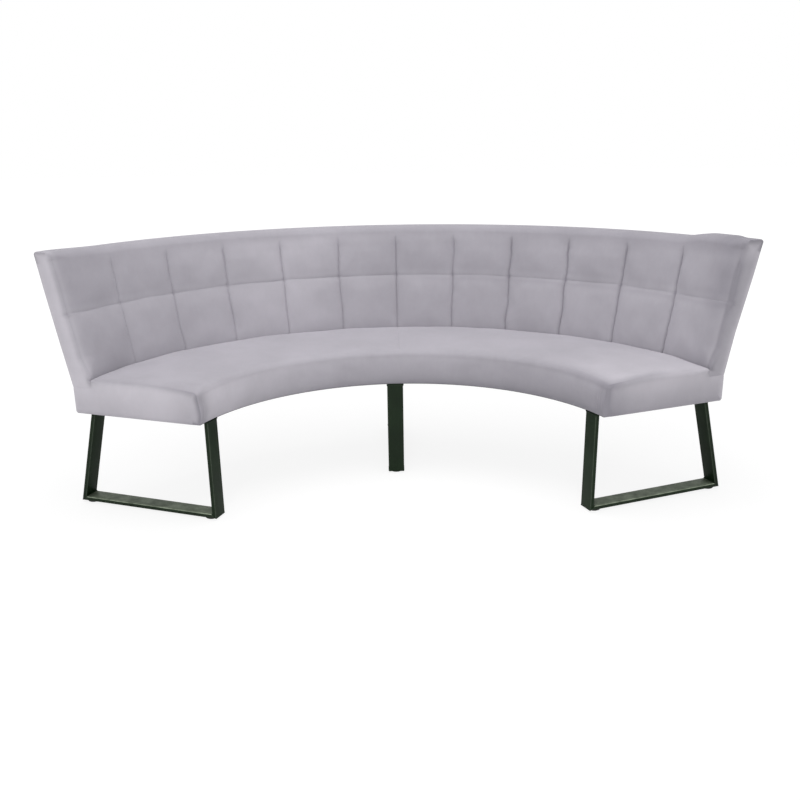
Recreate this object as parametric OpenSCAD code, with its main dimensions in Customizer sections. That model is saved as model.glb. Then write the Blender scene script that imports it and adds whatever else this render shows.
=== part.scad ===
// Half-round upholstered bench: a curved seat block and a leaning quilted back,
// carried by three sled frames of flat tube.
// The origin is on the floor under the middle of the bench. X runs along its width,
// Y from the hollow front to the back, Z up.

/* [Arc] */
// Radius of the seat's lower front edge
inner_r = 705; // [600:5:900]
// Front edge of the seat block to its rear face
seat_depth = 481; // [450:1:560]
// Half of the angle that the bench spans
half_angle = 69.6; // [55:0.1:80]
// Angle that each end cover takes up
end_cover_angle = 0.5; // [0.4:0.05:0.8]

/* [Heights] */
// Floor to the top of the back
overall_h = 900; // [860:5:960]
// Floor to the underside of the seat block
underside_h = 360; // [330:1:380]
// Floor to the seat's top edge at the front
seat_edge_h = 487; // [470:1:510]
// Floor to the seat's surface where it meets the back
junction_h = 492; // [478:1:515]
// Floor to the line where the back starts to lean
back_start_h = 454; // [440:1:460]

/* [Seat] */
// Rise of the crown above the line from front edge to back
seat_crown = 9; // [4:1:16]
// Drop of the seat's surface at both ends
end_fall = 10; // [0:1:14]
// How far the front face swells
front_bulge = 5; // [0:1:10]
// Radius of the seat's top front edge
front_edge_r = 24; // [16:1:30]
// Radius of the seat's top rear edge
rear_edge_r = 10; // [6:1:14]
// Cover with its bonded wadding, where it is drawn tight
cover_t = 3; // [2:0.5:4]
// Foam on the deck, measured at the front edge
foam_h = 52; // [40:1:60]
// Plywood deck
deck_t = 12; // [9:1:15]
// Curved rails, end rails and cross ribs
rail_t = 18; // [15:1:22]
// Width of the battens that the leg frames bolt to
batten_w = 80; // [70:1:100]
// Cross ribs on each side of the middle
ribs_per_side = 3; // [2:1:4]
// Turned-under hem of the covers, width
hem_w = 28; // [20:1:40]
// Turned-under hem of the covers, thickness
hem_t = 1.6; // [1:0.2:2.4]
// Black cloth under the seat
cloth_t = 1; // [0.6:0.2:1.6]

/* [Back] */
// Lean of the back from upright, in degrees
back_lean = 12.3; // [6:0.1:18]
// Depth of the back at its seams, measured level
back_depth = 62; // [54:1:74]
// Stitched squares along each half of the back
columns_per_side = 6; // [4:1:8]
// Floor to the seam between the two rows
mid_seam_h = 702; // [660:1:740]
// Floor to where the upright seams run out
top_seam_h = 866; // [840:1:870]
// Floor to the hidden seam under the lower row
low_seam_h = 478; // [472:1:484]
// How far a stitched square swells
pad_puff = 10; // [4:1:14]
// Roll of the top edge at the front
top_front_r = 26; // [16:1:30]
// Roll of the top edge at the rear
top_rear_r = 12; // [6:1:16]
// Turned-over lip of the quilted cover at the rear
lip_w = 26; // [20:1:40]
// Outside cover of the back and of the seat's rear
skin_t = 1.6; // [1:0.2:2.4]
// Rear board of the back
rear_board_t = 3; // [2:0.5:4]
// Depth of posts and top rail
post_d = 25; // [20:1:28]
// Width of the posts
post_w = 22; // [18:1:30]
// Posts on each side of the middle one
posts_per_side = 3; // [2:1:4]
// Bent plywood behind the foam
ply_t = 5; // [3:1:6]
// Base plank of the back, depth
plank_d = 50; // [45:1:52]
// Base plank of the back, height
plank_h = 22; // [18:1:24]
// Top rail of the back, height
top_rail_h = 28; // [20:1:40]
// Foam roll between the top rail and the cover
top_foam_h = 18; // [12:1:20]

/* [Leg frames] */
// Width of the flat tube
tube_w = 60; // [50:1:70]
// Thickness of the flat tube
tube_t = 15; // [12:1:20]
// Wall of the flat tube
tube_wall = 2; // [1.5:0.5:3]
// End face of the bench to an end frame's outer face
leg_inset = 51; // [30:1:90]
// Middle frame's centre, off the middle of the bench
middle_shift = 18; // [0:1:30]
// Foot behind the seat's lower front edge
foot_setback = 1; // [0:1:30]
// Length of the foot bar
foot_len = 554; // [520:1:580]
// Front foot ahead of the upright's top
front_splay = 2; // [0:1:40]
// Rear foot behind the upright's top
rear_splay = 89; // [40:1:110]
// Top plate that bolts under the seat
plate_t = 6; // [4:0.5:8]

/* [Fasteners and glides] */
// Glide disc, thickness
glide_t = 8; // [2:0.5:12]
// Glide disc, radius
glide_r = 24; // [10:1:25]
// Glide stem, radius
stem_r = 3; // [2:0.5:4]
// Glide centre to the end of the foot bar
glide_inset = 32; // [24:1:60]
// Leg bolt, radius
bolt_r = 4; // [3:0.5:5]
// Leg bolt head across its corners, radius
bolt_head_r = 7.5; // [6:0.5:9]
// Leg bolt head, height
bolt_head_h = 5.3; // [4:0.1:7]
// Washer under a bolt head, radius
washer_r = 9; // [8:0.5:12]
// Washer under a bolt head, thickness
washer_t = 1.6; // [1:0.1:2]
// Bolt row to the front or rear end of the top plate
bolt_inset = 60; // [48:1:90]
// Bolts beside each other, centre to centre
bolt_pitch = 32; // [24:1:40]
// Tee nut flange, radius
nut_flange_r = 11; // [9:0.5:13]
// Tee nut flange, thickness
nut_flange_t = 1.5; // [1:0.1:2]
// Tee nut barrel, radius
nut_barrel_r = 5.5; // [5:0.1:6]
// Tee nut barrel, length
nut_barrel_h = 14; // [10:1:20]
// Wood screw shank, radius
screw_r = 2; // [1.5:0.1:2.5]
// Wood screw head, radius
screw_head_r = 4; // [3.5:0.1:5]
// Wood screw head, height
screw_head_h = 2.4; // [2:0.1:3]
// Wood screw, length below its head
screw_len = 30; // [20:1:36]
// Angle bracket, length along the rail
bracket_w = 60; // [50:1:80]
// Angle bracket, thickness
bracket_t = 3; // [2:0.5:4]
// Angle bracket, upright leg
bracket_h = 40; // [34:1:50]
// Angle bracket, level leg
bracket_d = 26; // [22:1:28]
// Short screw in a bracket, length below its head
bracket_screw_len = 14; // [10:1:16]

/* [Hidden] */
$fn = 120;

// Room round a piece that is slipped into place
fit_gap = 0.3;
// Room between a curved shell and what it wraps
wrap_gap = 0.8;
// Room round a screw or bolt thread
thread_gap = 0.12;
// Reach of a cut past the face that it opens
overrun = 1;

body_half = half_angle - end_cover_angle;
outer_r = inner_r + seat_depth;
back_rise = overall_h - back_start_h;
front_y = inner_r * cos(half_angle);
rear_y = outer_r + back_rise * tan(back_lean);
arc_y = (front_y + rear_y) / 2;

fabric = [0.67, 0.65, 0.69];
black_cloth = [0.1, 0.1, 0.11];
steel = [0.13, 0.16, 0.14];
zinc = [0.72, 0.72, 0.7];
timber = [0.8, 0.66, 0.46];
plywood = [0.86, 0.74, 0.55];
foam = [0.93, 0.9, 0.78];
nylon = [0.08, 0.08, 0.08];

// Heights inside the seat block
hem_h = underside_h + cloth_t;
frame_h = hem_h + hem_t;
deck_top_h = seat_edge_h - foam_h - cover_t;
deck_h = deck_top_h - deck_t;

// Radii inside the seat block
front_rail_r = inner_r + cover_t + fit_gap;
front_rail_rear_r = front_rail_r + rail_t;
rear_rail_out_r = outer_r - skin_t - fit_gap;
rear_rail_r = rear_rail_out_r - rail_t;
step_r = outer_r - back_depth;
// Share of the pad's swell that the crease behind the seat leaves free
crease_share = 0.5;
crease = pad_puff * crease_share;

// Depths inside the back, measured level from its rear face
board_d = skin_t + fit_gap;
frame_d = board_d + rear_board_t + fit_gap;
ply_d = frame_d + post_d + fit_gap;
back_foam_d = ply_d + ply_t + fit_gap;
back_foam_front_d = back_depth - cover_t - wrap_gap;
plank_top_h = back_start_h + plank_h;
rail_top_h = overall_h - cover_t - fit_gap - top_foam_h;
lip_h = overall_h - top_rear_r - lip_w;

// Where the leg frames' tubes run
foot_r = inner_r + foot_setback;
tube_top_h = underside_h - plate_t;
upright_rise = tube_top_h - glide_t;
front_tilt = atan(front_splay / upright_rise);
rear_tilt = atan(rear_splay / upright_rise);
plate_front_r = foot_r + front_splay;
plate_rear_r = foot_r + foot_len - rear_splay;

// A point on the arc: radius, height, angle from the middle, positive towards +X
function on_ring(p, a) = [p.x * sin(a), p.x * cos(a), p.y];
// A section point of the back: depth from the rear face and height
function back_point(d, h) = [outer_r + (h - back_start_h) * tan(back_lean) - d, h];
function flipped(list) = [for (i = [len(list) - 1 : -1 : 0]) list[i]];

module on_arc() {
  translate([0, -arc_y, 0]) children();
}
// A section turned about the arc's centre, symmetric about the middle
module arc_piece(half) {
  on_arc() rotate([0, 0, 90 - half]) rotate_extrude(angle = 2 * half) children();
}
// The same on the right half alone
module right_half_piece(half) {
  on_arc() rotate([0, 0, 90 - half]) rotate_extrude(angle = half) children();
}
module band(r0, r1, h0, h1) {
  translate([r0, h0]) square([r1 - r0, h1 - h0]);
}
// A flat piece cut to a radius-height outline, standing in the radial plane at an angle,
// from side0 to side1 beside that plane
module radial_plate(angle, side0, side1) {
  on_arc() rotate([0, 0, 90 - angle]) translate([0, side1, 0]) rotate([90, 0, 0])
    linear_extrude(side1 - side0) children();
}
module mirrored() {
  mirror([1, 0, 0]) children();
}

// Triangles of a skin swept through rings of points, each ring counter-clockwise in
// radius and height
function side_faces(n, loop) = [
  for (i = [0 : n - 1], j = [0 : loop - 1])
    let (a = i * loop + j, b = i * loop + (j + 1) % loop)
      each [[a, a + loop, b + loop], [a, b + loop, b]]];

// A shell between an outer and an inner line, which have as many points
module swept_shell(outer, inner, angles) {
  n = len(angles) - 1;
  m = len(outer[0]);
  loop = 2 * m;
  points = [for (i = [0 : n]) each
    [for (p = concat(outer[i], flipped(inner[i]))) on_ring(p, angles[i])]];
  start = [for (j = [0 : m - 2]) each
    [[j, j + 1, loop - 2 - j], [j, loop - 2 - j, loop - 1 - j]]];
  end = [for (f = start) [f[2] + n * loop, f[1] + n * loop, f[0] + n * loop]];
  on_arc() polyhedron(points, concat(side_faces(n, loop), start, end), convexity = 6);
}

// A solid through rings of one outline, closed by fans
module swept_solid(rings, angles) {
  n = len(angles) - 1;
  loop = len(rings[0]);
  total = (n + 1) * loop;
  points = [for (i = [0 : n]) each [for (p = rings[i]) on_ring(p, angles[i])]];
  hub0 = on_ring(mean(rings[0]), angles[0]);
  hub1 = on_ring(mean(rings[n]), angles[n]);
  start = [for (j = [0 : loop - 1]) [j, (j + 1) % loop, total]];
  end = [for (j = [0 : loop - 1]) [n * loop + (j + 1) % loop, n * loop + j, total + 1]];
  on_arc() polyhedron(concat(points, [hub0, hub1]),
    concat(side_faces(n, loop), start, end), convexity = 6);
}
function mean(points) = [for (k = [0, 1])
  let (low = min([for (p = points) p[k]]), high = max([for (p = points) p[k]]))
    (low + high) / 2];

// Seat cover
// Stations along half of the seat, and points over its top
seat_stations = 18;
top_points = 7;
edge_points = 3;
face_points = 3;
// Powers that shape the drop at the ends
fall_power = 8;

function seat_top(back_share, arc_share) =
  seat_edge_h + (junction_h - seat_edge_h) * back_share
  + seat_crown * 4 * back_share * (1 - back_share)
  - end_fall * pow(arc_share, fall_power);
// Rear wall of the seat cushion, just in front of the back
function wall_r(h, inset) = back_point(back_depth + crease + inset, h).x;

// The outer line runs from the rear wall's foot over the top and down the front;
// arc_share lowers it towards the ends and inset moves it inwards
function seat_line(arc_share, foot_h, inset) =
  let (
    rear_h = seat_top(1, arc_share) - inset,
    front_h = seat_top(0, arc_share) - inset,
    er = front_edge_r - inset,
    wr = rear_edge_r - inset,
    top0 = wall_r(rear_h, inset) - wr,
    top1 = inner_r + inset + er,
    rear = [
      [wall_r(foot_h, inset), foot_h],
      [wall_r(rear_h - wr, inset), rear_h - wr],
      [wall_r(rear_h, inset) - wr * (1 - cos(45)), rear_h - wr * (1 - sin(45))]],
    top = [for (i = [0 : top_points - 1]) let (s = i / (top_points - 1))
      [top0 + (top1 - top0) * s, seat_top(1 - s, arc_share) - inset]],
    edge = [for (i = [1 : edge_points]) let (a = 90 * i / edge_points)
      [top1 - er * sin(a), front_h - er * (1 - cos(a))]],
    low_h = hem_h + inset * hem_t / cover_t,
    face = [for (i = [1 : face_points]) let (s = i / (face_points + 1))
      [inner_r + inset - front_bulge * 4 * s * (1 - s),
       (front_h - er) * (1 - s) + low_h * s]]
  ) concat(rear, top, edge, face, [[inner_r + inset, low_h]]);

module seat_cover_half() {
  angles = [for (i = [0 : seat_stations]) body_half * i / seat_stations];
  outer = [for (a = angles) concat(seat_line(a / half_angle, deck_top_h, 0),
    [[inner_r + hem_w, hem_h]])];
  inner = [for (a = angles) concat(seat_line(1, deck_top_h, cover_t),
    [[inner_r + hem_w, frame_h]])];
  color(fabric) swept_shell(outer, inner, angles);
}
module seat_cover_right() { seat_cover_half(); }
module seat_cover_left() { mirrored() seat_cover_half(); }

// End covers
// Rounding of an end cover's rim, and where its middle ring lies
rim = 5;
rim_share = 0.4;
end_angles = [body_half, half_angle - end_cover_angle * rim_share, half_angle];
rim_insets = [0, rim * rim_share * rim_share, rim];

// A section drawn in evenly towards its middle, with its foot held
function drawn_in(points, inset, width, height, foot, middle_r) = [for (p = points)
  [middle_r + (p.x - middle_r) * (1 - 2 * inset / width),
   foot + (p.y - foot) * (1 - inset / height)]];

module seat_end_cover() {
  line = seat_line(1, back_start_h, 0);
  outline = concat([[outer_r, hem_h], [outer_r, back_start_h]], line);
  rings = [for (inset = rim_insets) drawn_in(outline, inset, seat_depth,
    seat_edge_h - hem_h, hem_h, inner_r + seat_depth / 2)];
  color(fabric) swept_solid(rings, end_angles);
}
module seat_right_end_cover() { seat_end_cover(); }
module seat_left_end_cover() { mirrored() seat_end_cover(); }

// The band round the rear of the seat block, turned under it
module seat_rear_band() {
  color(fabric) arc_piece(body_half) union() {
    band(outer_r - skin_t, outer_r, hem_h, back_start_h);
    band(outer_r - hem_w, outer_r, hem_h, frame_h);
  }
}
module underside_cloth() {
  color(black_cloth) difference() {
    arc_piece(body_half) band(inner_r + cover_t, outer_r - cover_t, underside_h, hem_h);
    at_each_leg() at_bolts() translate([0, 0, underside_h - overrun])
      cylinder(r = bolt_r + fit_gap, h = cloth_t + 2 * overrun);
  }
}

// Seat foam and deck
module seat_foam_half() {
  line = seat_line(1, deck_top_h, cover_t + wrap_gap);
  n = len(line);
  used = [for (i = [0 : n - face_points - 2]) line[i]];
  color(foam) right_half_piece(body_half)
    polygon(concat(used, [[front_rail_r + wrap_gap, deck_top_h]]));
}
module seat_foam_right() { seat_foam_half(); }
module seat_foam_left() { mirrored() seat_foam_half(); }

// Angles of the cross ribs on the right half, between the battens of the leg frames
leg_angle = asin((leg_inset + tube_w) / outer_r);
middle_angle = asin(tube_w / inner_r);
rib_angles = [for (i = [1 : ribs_per_side]) let (s = i / (ribs_per_side + 1))
  (body_half - leg_angle) * s + middle_angle * (1 - s)];
// Screw places along a rib
screw_shares = [0.12, 0.5, 0.88];
screw_radii = [for (s = screw_shares) front_rail_rear_r + (step_r - front_rail_rear_r) * s];
end_rail_side = rail_t / 2;

module deck_screw(gap) {
  translate([0, 0, -screw_len]) cylinder(r = screw_r + gap, h = screw_len - screw_head_h);
  translate([0, 0, -screw_head_h - gap])
    cylinder(r1 = screw_r + gap, r2 = screw_head_r + gap, h = screw_head_h + gap);
}
// Deck screws of the right half, over its ribs and its end rail
module half_deck_screws(gap) {
  on_arc() {
    for (a = rib_angles, r = screw_radii)
      rotate([0, 0, 90 - a]) translate([r, 0, deck_top_h]) deck_screw(gap);
    for (r = screw_radii)
      rotate([0, 0, 90 - body_half]) translate([r, end_rail_side, deck_top_h])
        deck_screw(gap);
  }
}
module deck_screws() {
  color(zinc) {
    half_deck_screws(0);
    mirrored() half_deck_screws(0);
  }
}
module seat_deck_half() {
  color(plywood) difference() {
    right_half_piece(body_half) band(front_rail_r, step_r - fit_gap, deck_h, deck_top_h);
    half_deck_screws(thread_gap);
  }
}
module seat_deck_right() { seat_deck_half(); }
module seat_deck_left() { mirrored() seat_deck_half(); }

// Seat frame
module seat_front_rail() {
  color(timber) arc_piece(body_half)
    band(front_rail_r, front_rail_rear_r, frame_h, deck_h);
}
module seat_rear_rail() {
  color(timber) difference() {
    arc_piece(body_half) band(rear_rail_r, rear_rail_out_r, frame_h, back_start_h);
    placed_brackets() bracket_screw_pair_level(thread_gap);
  }
}
// Outline of a rib or end rail, notched so that the deck lies in front of the back
module rib_outline(half_width) {
  r0 = front_rail_rear_r + fit_gap;
  r1 = sqrt(pow(rear_rail_r, 2) - pow(half_width, 2)) - fit_gap;
  polygon([[r0, frame_h], [r1, frame_h], [r1, back_start_h], [step_r, back_start_h],
    [step_r, deck_h], [r0, deck_h]]);
}
module half_cross_ribs() {
  difference() {
    for (a = rib_angles) radial_plate(a, -rail_t / 2, rail_t / 2) rib_outline(rail_t / 2);
    half_deck_screws(thread_gap);
  }
}
module seat_cross_ribs() {
  color(timber) {
    half_cross_ribs();
    mirrored() half_cross_ribs();
  }
}
module seat_end_rail() {
  color(timber) difference() {
    radial_plate(body_half, 0, rail_t) rib_outline(rail_t);
    half_deck_screws(thread_gap);
  }
}
module seat_right_end_rail() { seat_end_rail(); }
module seat_left_end_rail() { mirrored() seat_end_rail(); }

// Leg frames, in a frame's own place: X outwards from the arc's centre, Y across the tube
module at_right_leg() {
  on_arc() rotate([0, 0, 90 - half_angle]) translate([0, leg_inset, 0]) children();
}
module at_left_leg() {
  mirrored() at_right_leg() children();
}
module at_middle_leg() {
  on_arc() rotate([0, 0, 90]) translate([0, middle_shift - tube_w / 2, 0]) children();
}
module tube(outline, bore) {
  difference() {
    translate([0, tube_w, 0]) rotate([90, 0, 0]) linear_extrude(tube_w) polygon(outline);
    translate([0, tube_w - tube_wall, 0]) rotate([90, 0, 0])
      linear_extrude(tube_w - 2 * tube_wall) polygon(bore);
  }
}
// A face of the front or rear upright: reach from its outer face, and height
function front_face(reach, h) =
  [foot_r + front_splay * (h - glide_t) / upright_rise + reach / cos(front_tilt), h];
function rear_face(reach, h) =
  [foot_r + foot_len - rear_splay * (h - glide_t) / upright_rise
   - reach / cos(rear_tilt), h];
bar_top_h = glide_t + tube_t;

module front_upright() {
  color(steel) tube(
    [front_face(0, glide_t), front_face(tube_t, bar_top_h), front_face(tube_t, tube_top_h),
     front_face(0, tube_top_h)],
    [for (p = [[tube_wall, -overrun], [tube_t - tube_wall, -overrun],
      [tube_t - tube_wall, tube_top_h + overrun], [tube_wall, tube_top_h + overrun]])
      front_face(p[0], p[1])]);
}
module rear_upright() {
  color(steel) tube(
    [rear_face(0, glide_t), rear_face(0, tube_top_h), rear_face(tube_t, tube_top_h),
     rear_face(tube_t, bar_top_h)],
    [for (p = [[tube_wall, -overrun], [tube_wall, tube_top_h + overrun],
      [tube_t - tube_wall, tube_top_h + overrun], [tube_t - tube_wall, -overrun]])
      rear_face(p[0], p[1])]);
}
module foot_bar() {
  color(steel) difference() {
    tube(
      [front_face(0, glide_t), rear_face(0, glide_t), rear_face(tube_t, bar_top_h),
       front_face(tube_t, bar_top_h)],
      [[foot_r - overrun, glide_t + tube_wall],
       [foot_r + foot_len + overrun, glide_t + tube_wall],
       [foot_r + foot_len + overrun, bar_top_h - tube_wall],
       [foot_r - overrun, bar_top_h - tube_wall]]);
    for (r = glide_radii) translate([r, tube_w / 2, glide_t - overrun])
      cylinder(r = stem_r + thread_gap, h = tube_wall + 2 * overrun);
  }
}
glide_radii = [foot_r + glide_inset, foot_r + foot_len - glide_inset];
module glide_pair() {
  for (r = glide_radii) translate([r, tube_w / 2, 0]) {
    cylinder(r = glide_r, h = glide_t);
    cylinder(r = stem_r, h = glide_t + 2 * tube_wall);
  }
}
bolt_radii = [plate_front_r + bolt_inset, plate_rear_r - bolt_inset];
bolt_sides = [(tube_w - bolt_pitch) / 2, (tube_w + bolt_pitch) / 2];
module at_bolts() {
  for (r = bolt_radii, s = bolt_sides) translate([r, s, 0]) children();
}
// A bolt's shank hole, opened up for the tee nut's barrel and flange
module tee_nut_hole() {
  translate([0, 0, underside_h - overrun])
    cylinder(r = bolt_r + fit_gap, h = deck_h - underside_h + overrun);
  translate([0, 0, deck_h - nut_flange_t - nut_barrel_h - fit_gap])
    cylinder(r = nut_barrel_r + thread_gap, h = nut_barrel_h + nut_flange_t);
  translate([0, 0, deck_h - nut_flange_t - fit_gap])
    cylinder(r = nut_flange_r + fit_gap, h = nut_flange_t + fit_gap + overrun);
}
module top_plate() {
  color(steel) difference() {
    translate([plate_front_r, 0, tube_top_h])
      cube([plate_rear_r - plate_front_r, tube_w, plate_t]);
    at_bolts() translate([0, 0, tube_top_h - overrun])
      cylinder(r = bolt_r + fit_gap, h = plate_t + 2 * overrun);
  }
}
module bolt_set() {
  at_bolts() {
    translate([0, 0, tube_top_h - washer_t - bolt_head_h])
      cylinder(r = bolt_head_r, h = bolt_head_h, $fn = 6);
    translate([0, 0, tube_top_h - washer_t - overrun])
      cylinder(r = bolt_r, h = deck_h - nut_flange_t - tube_top_h + washer_t + overrun);
  }
}
module washer_set() {
  at_bolts() translate([0, 0, tube_top_h - washer_t]) difference() {
    cylinder(r = washer_r, h = washer_t);
    translate([0, 0, -overrun]) cylinder(r = bolt_r + fit_gap, h = washer_t + 2 * overrun);
  }
}
module tee_nut_set() {
  at_bolts() translate([0, 0, deck_h - nut_flange_t - nut_barrel_h]) difference() {
    union() {
      cylinder(r = nut_barrel_r, h = nut_barrel_h);
      translate([0, 0, nut_barrel_h]) cylinder(r = nut_flange_r, h = nut_flange_t);
    }
    translate([0, 0, -overrun])
      cylinder(r = bolt_r + thread_gap, h = nut_barrel_h + nut_flange_t + 2 * overrun);
  }
}
// The batten over a leg frame, from rail to rail; near and far are its sides' distances
// from the radial plane
module batten(near, far) {
  side = (tube_w - batten_w) / 2;
  r0 = sqrt(pow(front_rail_rear_r, 2) - pow(near, 2)) + fit_gap;
  r1 = sqrt(pow(rear_rail_r, 2) - pow(far, 2)) - fit_gap;
  color(timber) difference() {
    translate([r0, side, frame_h]) cube([r1 - r0, batten_w, deck_h - frame_h]);
    at_bolts() tee_nut_hole();
  }
}
batten_margin = (batten_w - tube_w) / 2;
module end_batten() {
  batten(leg_inset - batten_margin, leg_inset + tube_w + batten_margin);
}
module middle_batten() {
  batten(0, middle_shift + batten_w / 2);
}

module left_foot_bar() { at_left_leg() foot_bar(); }
module left_front_upright() { at_left_leg() front_upright(); }
module left_rear_upright() { at_left_leg() rear_upright(); }
module left_top_plate() { at_left_leg() top_plate(); }
module left_leg_batten() { at_left_leg() end_batten(); }
module middle_foot_bar() { at_middle_leg() foot_bar(); }
module middle_front_upright() { at_middle_leg() front_upright(); }
module middle_rear_upright() { at_middle_leg() rear_upright(); }
module middle_top_plate() { at_middle_leg() top_plate(); }
module middle_leg_batten() { at_middle_leg() middle_batten(); }
module right_foot_bar() { at_right_leg() foot_bar(); }
module right_front_upright() { at_right_leg() front_upright(); }
module right_rear_upright() { at_right_leg() rear_upright(); }
module right_top_plate() { at_right_leg() top_plate(); }
module right_leg_batten() { at_right_leg() end_batten(); }

module at_each_leg() {
  at_left_leg() children();
  at_middle_leg() children();
  at_right_leg() children();
}
module floor_glides() { color(nylon) at_each_leg() glide_pair(); }
module leg_bolts() { color(zinc) at_each_leg() bolt_set(); }
module leg_washers() { color(zinc) at_each_leg() washer_set(); }
module leg_tee_nuts() { color(zinc) at_each_leg() tee_nut_set(); }

// Back frame
module back_band(d0, d1, h0, h1) {
  polygon([back_point(d1, h0), back_point(d0, h0), back_point(d0, h1), back_point(d1, h1)]);
}
module back_base_plank() {
  color(timber) difference() {
    arc_piece(body_half)
      back_band(frame_d, frame_d + plank_d, back_start_h, plank_top_h);
    placed_brackets() bracket_screw_pair_up(thread_gap);
  }
}
module post_outline() {
  back_band(frame_d, frame_d + post_d, plank_top_h, rail_top_h - top_rail_h);
}
post_angles = [for (i = [-posts_per_side : posts_per_side])
  body_half * i / (posts_per_side + 1)];
module back_posts() {
  color(timber) for (a = post_angles) radial_plate(a, -post_w / 2, post_w / 2)
    post_outline();
}
module back_end_post() {
  color(timber) radial_plate(body_half, 0, post_w) post_outline();
}
module back_right_end_post() { back_end_post(); }
module back_left_end_post() { mirrored() back_end_post(); }
module back_top_rail() {
  color(timber) arc_piece(body_half)
    back_band(frame_d, frame_d + post_d, rail_top_h - top_rail_h, rail_top_h);
}
module back_rear_board() {
  color(plywood) arc_piece(body_half)
    back_band(board_d, board_d + rear_board_t, back_start_h, rail_top_h);
}
module back_front_ply() {
  color(plywood) arc_piece(body_half)
    back_band(ply_d, ply_d + ply_t, plank_top_h, rail_top_h);
}

// Back foam: a slab on the ply and a roll over the top rail
module back_foam_half() {
  top_h = overall_h - cover_t - wrap_gap;
  r1 = top_front_r - cover_t;
  color(foam) right_half_piece(body_half) polygon(concat(
    [back_point(back_foam_front_d, plank_top_h), back_point(back_foam_d, plank_top_h),
     back_point(back_foam_d, rail_top_h), back_point(board_d + wrap_gap, rail_top_h),
     back_point(board_d + wrap_gap, overall_h - top_rear_r),
     back_point(top_rear_r, top_h)],
    [for (i = [0 : edge_points]) let (a = 90 * i / edge_points)
      back_point(back_foam_front_d - r1 * (1 - sin(a)), top_h - r1 * (1 - cos(a)))]));
}
module back_foam_right() { back_foam_half(); }
module back_foam_left() { mirrored() back_foam_half(); }

// Quilted cover of the back
// Divisions of a stitched square each way
pad_steps = 5;
// Swell left where the upright seams have run out
roll_share = 0.9;
// Height, from the middle seam up, over which the upper row fills out
upper_fill_shares = 0.5;
// Height share at which the upright seams start to fade
fade_start_share = 0.75;

function seam_dip(s) = pow(2 * s - 1, 2);
// Swell of the lower and upper row: across and up are shares within one square
function lower_swell(across, up) = (1 - seam_dip(across)) * (1 - seam_dip(up));
function upper_swell(across, up) =
  let (
    fade = 1 - max(0, (up - fade_start_share) / (1 - fade_start_share)),
    fill = pow(max(0, 1 - up / upper_fill_shares), 2),
    dip = seam_dip(across) * fade
  ) (1 - dip) * (1 - fill) * (1 - (1 - roll_share) * (1 - fade));

function roll_line(inset, front_d) =
  let (
    top = overall_h - inset,
    rr = top_rear_r - inset,
    fr = top_front_r - inset
  ) concat(
    [back_point(inset, lip_h)],
    [for (i = [0 : 2]) let (a = 45 * i)
      back_point(inset + rr * (1 - cos(a)), top - rr * (1 - sin(a)))],
    [for (i = [0 : edge_points]) let (a = 90 * i / edge_points)
      back_point(front_d - fr * (1 - sin(a)), top - fr * (1 - cos(a)))]);

function quilt_heights() = concat(
  [for (i = [0 : pad_steps]) top_seam_h + (mid_seam_h - top_seam_h) * i / pad_steps],
  [for (i = [1 : pad_steps]) mid_seam_h + (low_seam_h - mid_seam_h) * i / pad_steps]);

function back_outer_line(across) = concat(
  roll_line(0, back_depth + pad_puff * roll_share),
  [for (h = quilt_heights())
    let (
      swell = h >= mid_seam_h
        ? upper_swell(across, (h - mid_seam_h) / (top_seam_h - mid_seam_h))
        : lower_swell(across, (h - low_seam_h) / (mid_seam_h - low_seam_h))
    ) back_point(back_depth + pad_puff * swell, h)],
  [back_point(back_depth, back_start_h)]);
function back_inner_line() = concat(
  roll_line(cover_t, back_depth - cover_t),
  [for (h = quilt_heights()) back_point(back_depth - cover_t, h)],
  [back_point(back_depth - cover_t, back_start_h)]);

module back_cover_half() {
  n = columns_per_side * pad_steps;
  angles = [for (i = [0 : n]) body_half * i / n];
  outer = [for (i = [0 : n]) back_outer_line((i % pad_steps) / pad_steps)];
  inner = [for (i = [0 : n]) back_inner_line()];
  color(fabric) swept_shell(outer, inner, angles);
}
module back_cover_right() { back_cover_half(); }
module back_cover_left() { mirrored() back_cover_half(); }

module back_rear_cover() {
  color(fabric) arc_piece(body_half) back_band(0, skin_t, back_start_h, lip_h - fit_gap);
}
module back_end_cover() {
  line = back_outer_line(0);
  outline = concat([back_point(0, back_start_h)], line);
  height = overall_h - back_start_h;
  rings = [for (inset = rim_insets) [for (p = outline)
    let (
      d = back_point(0, p.y).x - p.x,
      keep = 1 - 2 * inset / back_depth
    ) back_point(back_depth / 2 + (d - back_depth / 2) * keep,
      back_start_h + (p.y - back_start_h) * (1 - inset / height))]];
  color(fabric) swept_solid(rings, end_angles);
}
module back_right_end_cover() { back_end_cover(); }
module back_left_end_cover() { mirrored() back_end_cover(); }

// Angle brackets in the corner of the rear rail and the back's base plank
bracket_angles = concat(
  [for (i = [0 : ribs_per_side - 2]) (rib_angles[i] + rib_angles[i + 1]) / 2],
  [(rib_angles[ribs_per_side - 1] + body_half - leg_angle) / 2]);
bracket_r = sqrt(pow(rear_rail_r, 2) - pow(bracket_w / 2, 2)) - fit_gap;
bracket_top_h = back_start_h - fit_gap;
module placed_brackets() {
  for (side = [-1, 1], a = bracket_angles)
    on_arc() rotate([0, 0, 90 - side * a]) translate([bracket_r, 0, bracket_top_h])
      children();
}
module at_bracket_screws() {
  for (side = [-1, 1]) translate([0, side * bracket_w / 4, 0]) children();
}
module bracket_screw(gap) {
  translate([0, 0, -overrun]) cylinder(r = screw_r + gap, h = bracket_screw_len + overrun);
  translate([0, 0, -screw_head_h]) cylinder(r = screw_head_r + gap, h = screw_head_h);
}
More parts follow.
